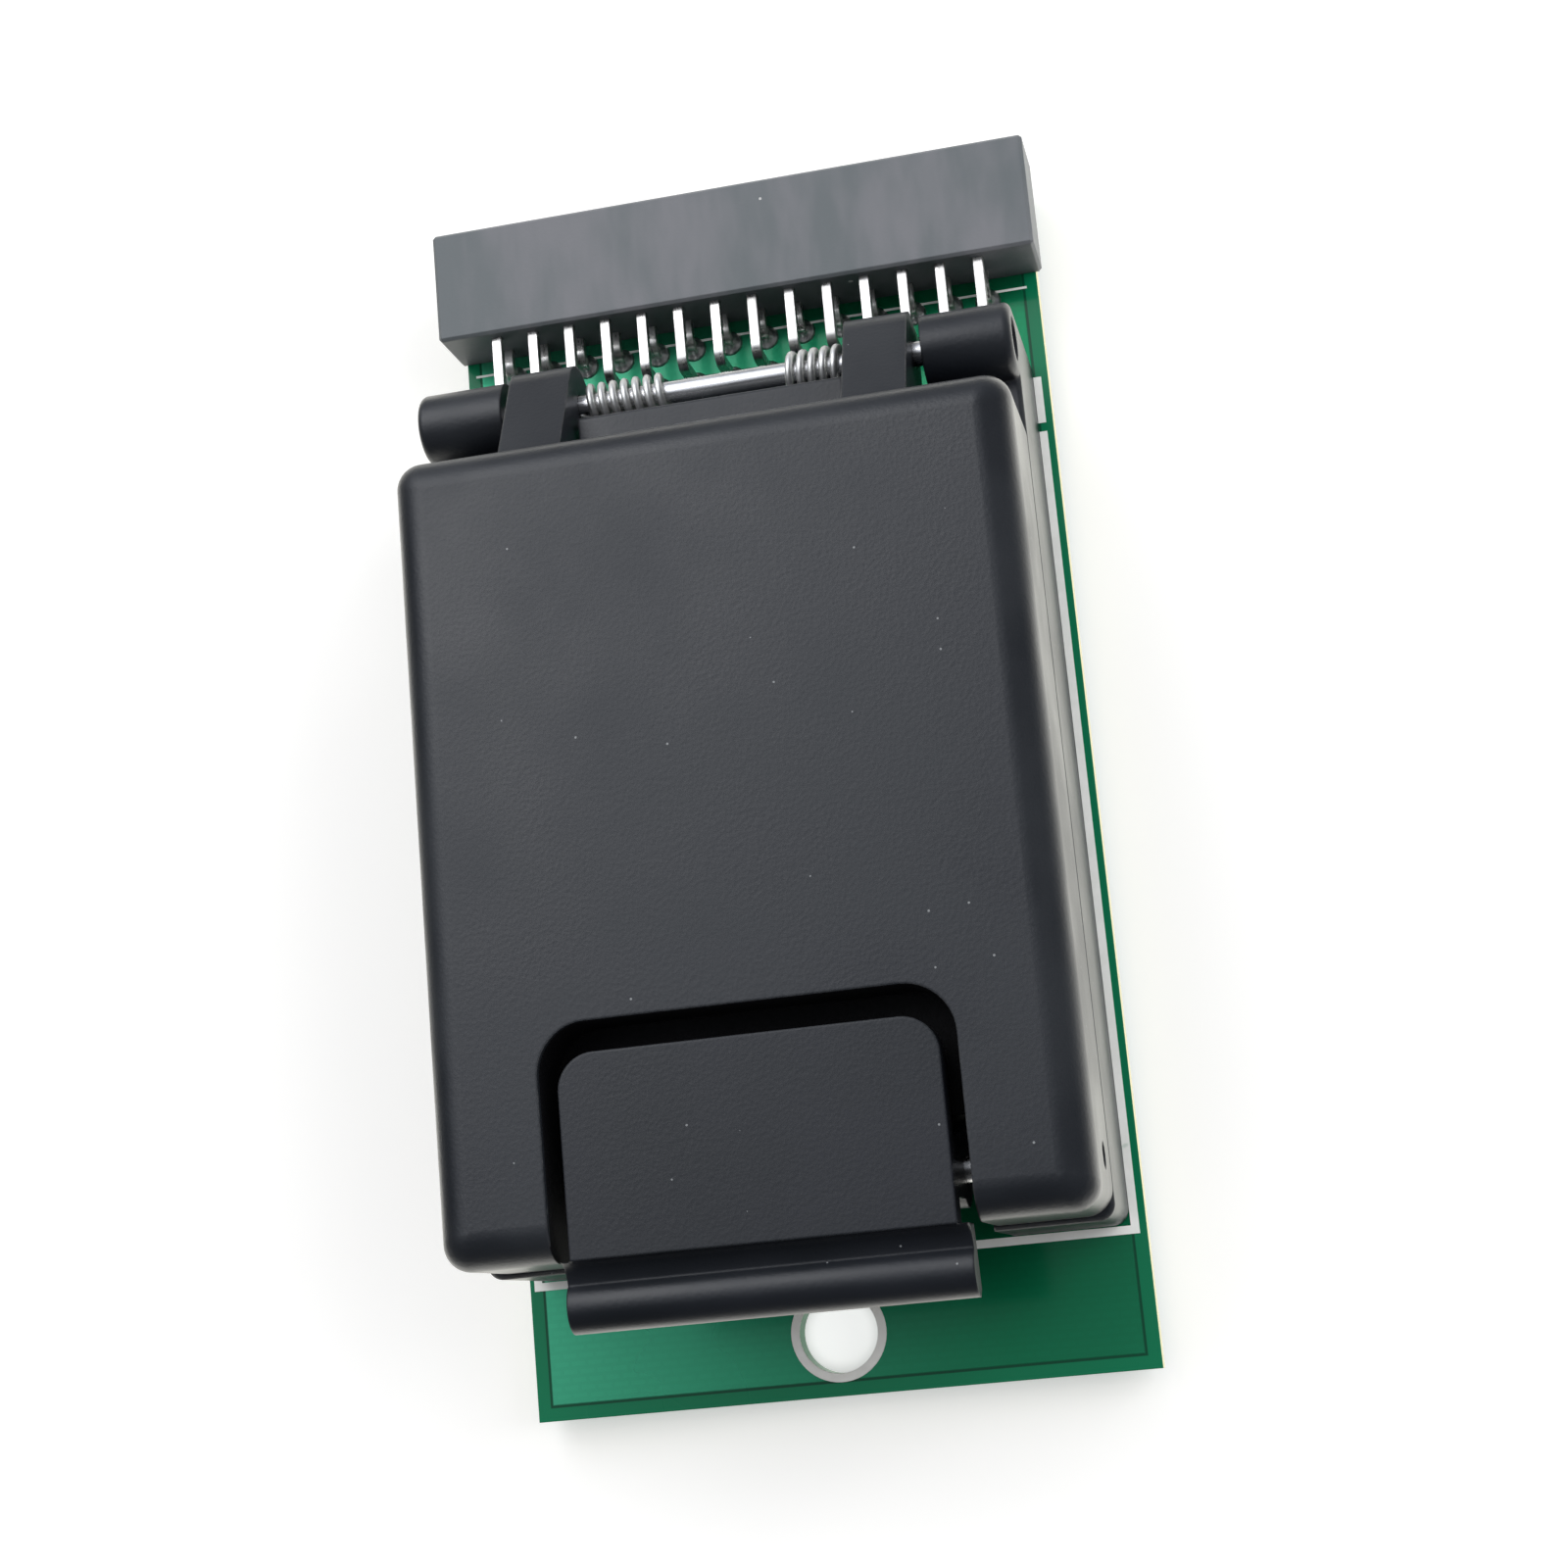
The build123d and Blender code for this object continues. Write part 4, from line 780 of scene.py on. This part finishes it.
# camera solved from the header's feet and the board's corners in the photograph
view = {
    "place": (31.761, -36.919, 170.197),
    "right": (0.974437, -0.088758, -0.206386),
    "up": (0.128520, 0.973716, 0.188042),
    "back": (0.184271, -0.209760, 0.960232),
    "lens": 60.912, "sensor": 36.0, "nearest": 5.0,
}
cameraData = bpy.data.cameras.new("studioCamera")
cameraData.lens = view["lens"]
cameraData.sensor_width = view["sensor"]
cameraData.sensor_fit = "HORIZONTAL"
cameraData.clip_start = view["nearest"] * mm
camera = bpy.data.objects.new("studioCamera", cameraData)
turn = Matrix((view["right"], view["up"], view["back"])).transposed().to_4x4()
camera.matrix_world = Matrix.Translation(Vector(view["place"]) * mm) @ turn
scene.collection.objects.link(camera)
scene.camera = camera

# the studio's places and sizes are in metres
lampAim = Vector((0, 0, 0.01))
lamps = {
    "softTop": {"place": (-0.2, 0.25, 0.42), "size": 0.34, "power": 0.78, "mirrored": True},
    "fillRight": {"place": (0.42, 0.12, 0.36), "size": 0.4, "power": 1.5, "mirrored": False},
}
for name, lamp in lamps.items():
    lampData = bpy.data.lights.new(name, "AREA")
    lampData.size = lamp["size"]
    lampData.energy = lamp["power"]
    lampObject = bpy.data.objects.new(name, lampData)
    lampObject.visible_glossy = lamp["mirrored"]
    place = Vector(lamp["place"])
    facing = (lampAim - place).to_track_quat("-Z", "Y").to_matrix().to_4x4()
    lampObject.matrix_world = Matrix.Translation(place) @ facing
    scene.collection.objects.link(lampObject)


def rayMasks(tree):
    # 1 for what the camera sees straight, and 1 for what the object mirrors or lets through
    lightPath = put(tree, "ShaderNodeLightPath")
    mirrored = maths(tree, "MAXIMUM", lightPath.outputs["Is Glossy Ray"],
                     lightPath.outputs["Is Transmission Ray"])
    return lightPath.outputs["Is Camera Ray"], mirrored


# light: a plain room, brighter towards the rear by tilt; mirrored: dark at the horizon, with
# a bright patch round the glow's direction and a weaker one at the rear
worldLook = {
    "light": 0.7, "tilt": 0.9, "glow": (-0.4, 0.45, 0.8), "bandLow": 0.7, "bandTop": 0.96,
    "horizon": 0.08, "zenith": 1.1, "rearGlow": 0.42, "rearFocus": 2.0,
    "glowTint": (0.96, 1.0, 1.1),
}
world = bpy.data.worlds.new("studioWorld")
scene.world = world
world.use_nodes = True
tree = world.node_tree
tree.nodes.clear()
seen, mirrored = rayMasks(tree)
direction = put(tree, "ShaderNodeTexCoord")
split = put(tree, "ShaderNodeSeparateXYZ")
towards = put(tree, "ShaderNodeVectorMath", {1: worldLook["glow"]}, operation="DOT_PRODUCT")
join(tree, (direction.outputs["Generated"], split.inputs["Vector"]),
     (direction.outputs["Generated"], towards.inputs[0]))
patch = ramp(tree, towards.outputs["Value"], worldLook["bandLow"], worldLook["bandTop"],
             worldLook["horizon"], worldLook["zenith"])
behind = maths(tree, "POWER", maths(tree, "MAXIMUM", split.outputs["Y"], 0.0),
               worldLook["rearFocus"])
room = maths(tree, "ADD", patch, maths(tree, "MULTIPLY", behind, worldLook["rearGlow"]))
rear = maths(tree, "ADD", 1.0, maths(tree, "MULTIPLY", split.outputs["Y"], worldLook["tilt"]))
soft = maths(tree, "MULTIPLY", rear, worldLook["light"])
plain = maths(tree, "SUBTRACT", 1.0, maths(tree, "MAXIMUM", mirrored, seen))
lit = maths(tree, "ADD", maths(tree, "MULTIPLY", mirrored, room),
            maths(tree, "MULTIPLY", plain, soft))
strength = maths(tree, "ADD", seen, lit)
background = put(tree, "ShaderNodeBackground")
worldOut = put(tree, "ShaderNodeOutputWorld")
join(
    tree,
    (mixColor(tree, mirrored, (1.0, 1.0, 1.0), worldLook["glowTint"]),
     background.inputs["Color"]),
    (strength, background.inputs["Strength"]),
    (background.outputs["Background"], worldOut.inputs["Surface"]),
)

# lift is light that the floor shows to the camera or to mirrors without lighting the object
floorLook = {
    "color": (0.72, 0.72, 0.715), "reach": 3.0, "rough": 0.9, "specular": 0.1,
    "outline": (0.02, 0.04),  # half the board's width and depth
    "lift": 0.38, "farLift": 0.6, "liftFrom": 0.1, "liftTo": 1.0,
    "holePlace": (-0.0004, -0.0358, 0.0), "holeLift": 0.35, "holeFrom": 0.0016, "holeTo": 0.003,
    "poolLift": 1.2, "beneath": 0.4, "beneathFrom": -0.004, "poolTint": (1.0, 0.985, 0.9),
    "poolStart": 0.012, "poolEnd": 0.06, "poolFar": 0.4,
}
reach = floorLook["reach"]
floorMesh = bpy.data.meshes.new("studioFloor")
floorMesh.from_pydata([(-reach, -reach, 0), (reach, -reach, 0), (reach, reach, 0),
                       (-reach, reach, 0)], [], [(0, 1, 2, 3)])
floor = bpy.data.objects.new("studioFloor", floorMesh)
scene.collection.objects.link(floor)
floorMaterial, tree, shader = startMaterial("paleFloor")
shader.inputs["Roughness"].default_value = floorLook["rough"]
shader.inputs["Specular IOR Level"].default_value = floorLook["specular"]
seen, mirrored = rayMasks(tree)
onFloor = put(tree, "ShaderNodeTexCoord")
away = put(tree, "ShaderNodeVectorMath", operation="ABSOLUTE")
split = put(tree, "ShaderNodeSeparateXYZ")
fromHole = put(tree, "ShaderNodeVectorMath", {1: floorLook["holePlace"]}, operation="DISTANCE")
join(tree, (onFloor.outputs["Object"], away.inputs[0]),
     (away.outputs["Vector"], split.inputs["Vector"]),
     (onFloor.outputs["Object"], fromHole.inputs[0]))
# distance outside the board's outline, over which the mirrored floor grows dimmer
wide, deep = floorLook["outline"]
gap = maths(tree, "MAXIMUM", maths(tree, "SUBTRACT", split.outputs["X"], wide),
            maths(tree, "SUBTRACT", split.outputs["Y"], deep))
pool = ramp(tree, gap, floorLook["poolStart"], floorLook["poolEnd"], 1.0, 0.0)
far = maths(tree, "MULTIPLY", mirrored, maths(tree, "SUBTRACT", 1.0, pool))
dim = tuple(part * floorLook["poolFar"] for part in floorLook["color"])
hole = ramp(tree, fromHole.outputs["Value"], floorLook["holeFrom"], floorLook["holeTo"],
            floorLook["holeLift"], 0.0)
openFloor = ramp(tree, gap, floorLook["liftFrom"], floorLook["liftTo"], floorLook["lift"],
                 floorLook["farLift"])
beneath = ramp(tree, gap, floorLook["beneathFrom"], 0.0, floorLook["beneath"],
               floorLook["poolLift"])
lift = maths(tree, "ADD", maths(tree, "MULTIPLY", seen, maths(tree, "ADD", hole, openFloor)),
             maths(tree, "MULTIPLY", maths(tree, "MULTIPLY", mirrored, pool), beneath))
join(
    tree,
    (mixColor(tree, far, floorLook["color"], dim), shader.inputs["Base Color"]),
    (mixColor(tree, mirrored, (1.0, 1.0, 1.0), floorLook["poolTint"]),
     shader.inputs["Emission Color"]),
    (lift, shader.inputs["Emission Strength"]),
)
# from below, the camera looks through the floor
seeThrough = put(tree, "ShaderNodeBsdfTransparent")
floorSide = put(tree, "ShaderNodeNewGeometry")
either = put(tree, "ShaderNodeMixShader")
fromBelow = maths(tree, "MULTIPLY", floorSide.outputs["Backfacing"], seen)
join(tree, (fromBelow, either.inputs[0]), (shader.outputs["BSDF"], either.inputs[1]),
     (seeThrough.outputs["BSDF"], either.inputs[2]),
     (either.outputs["Shader"], tree.nodes["Material Output"].inputs["Surface"]))
floorMesh.materials.append(floorMaterial)

scene.view_settings.view_transform = "Standard"
print("studio done")
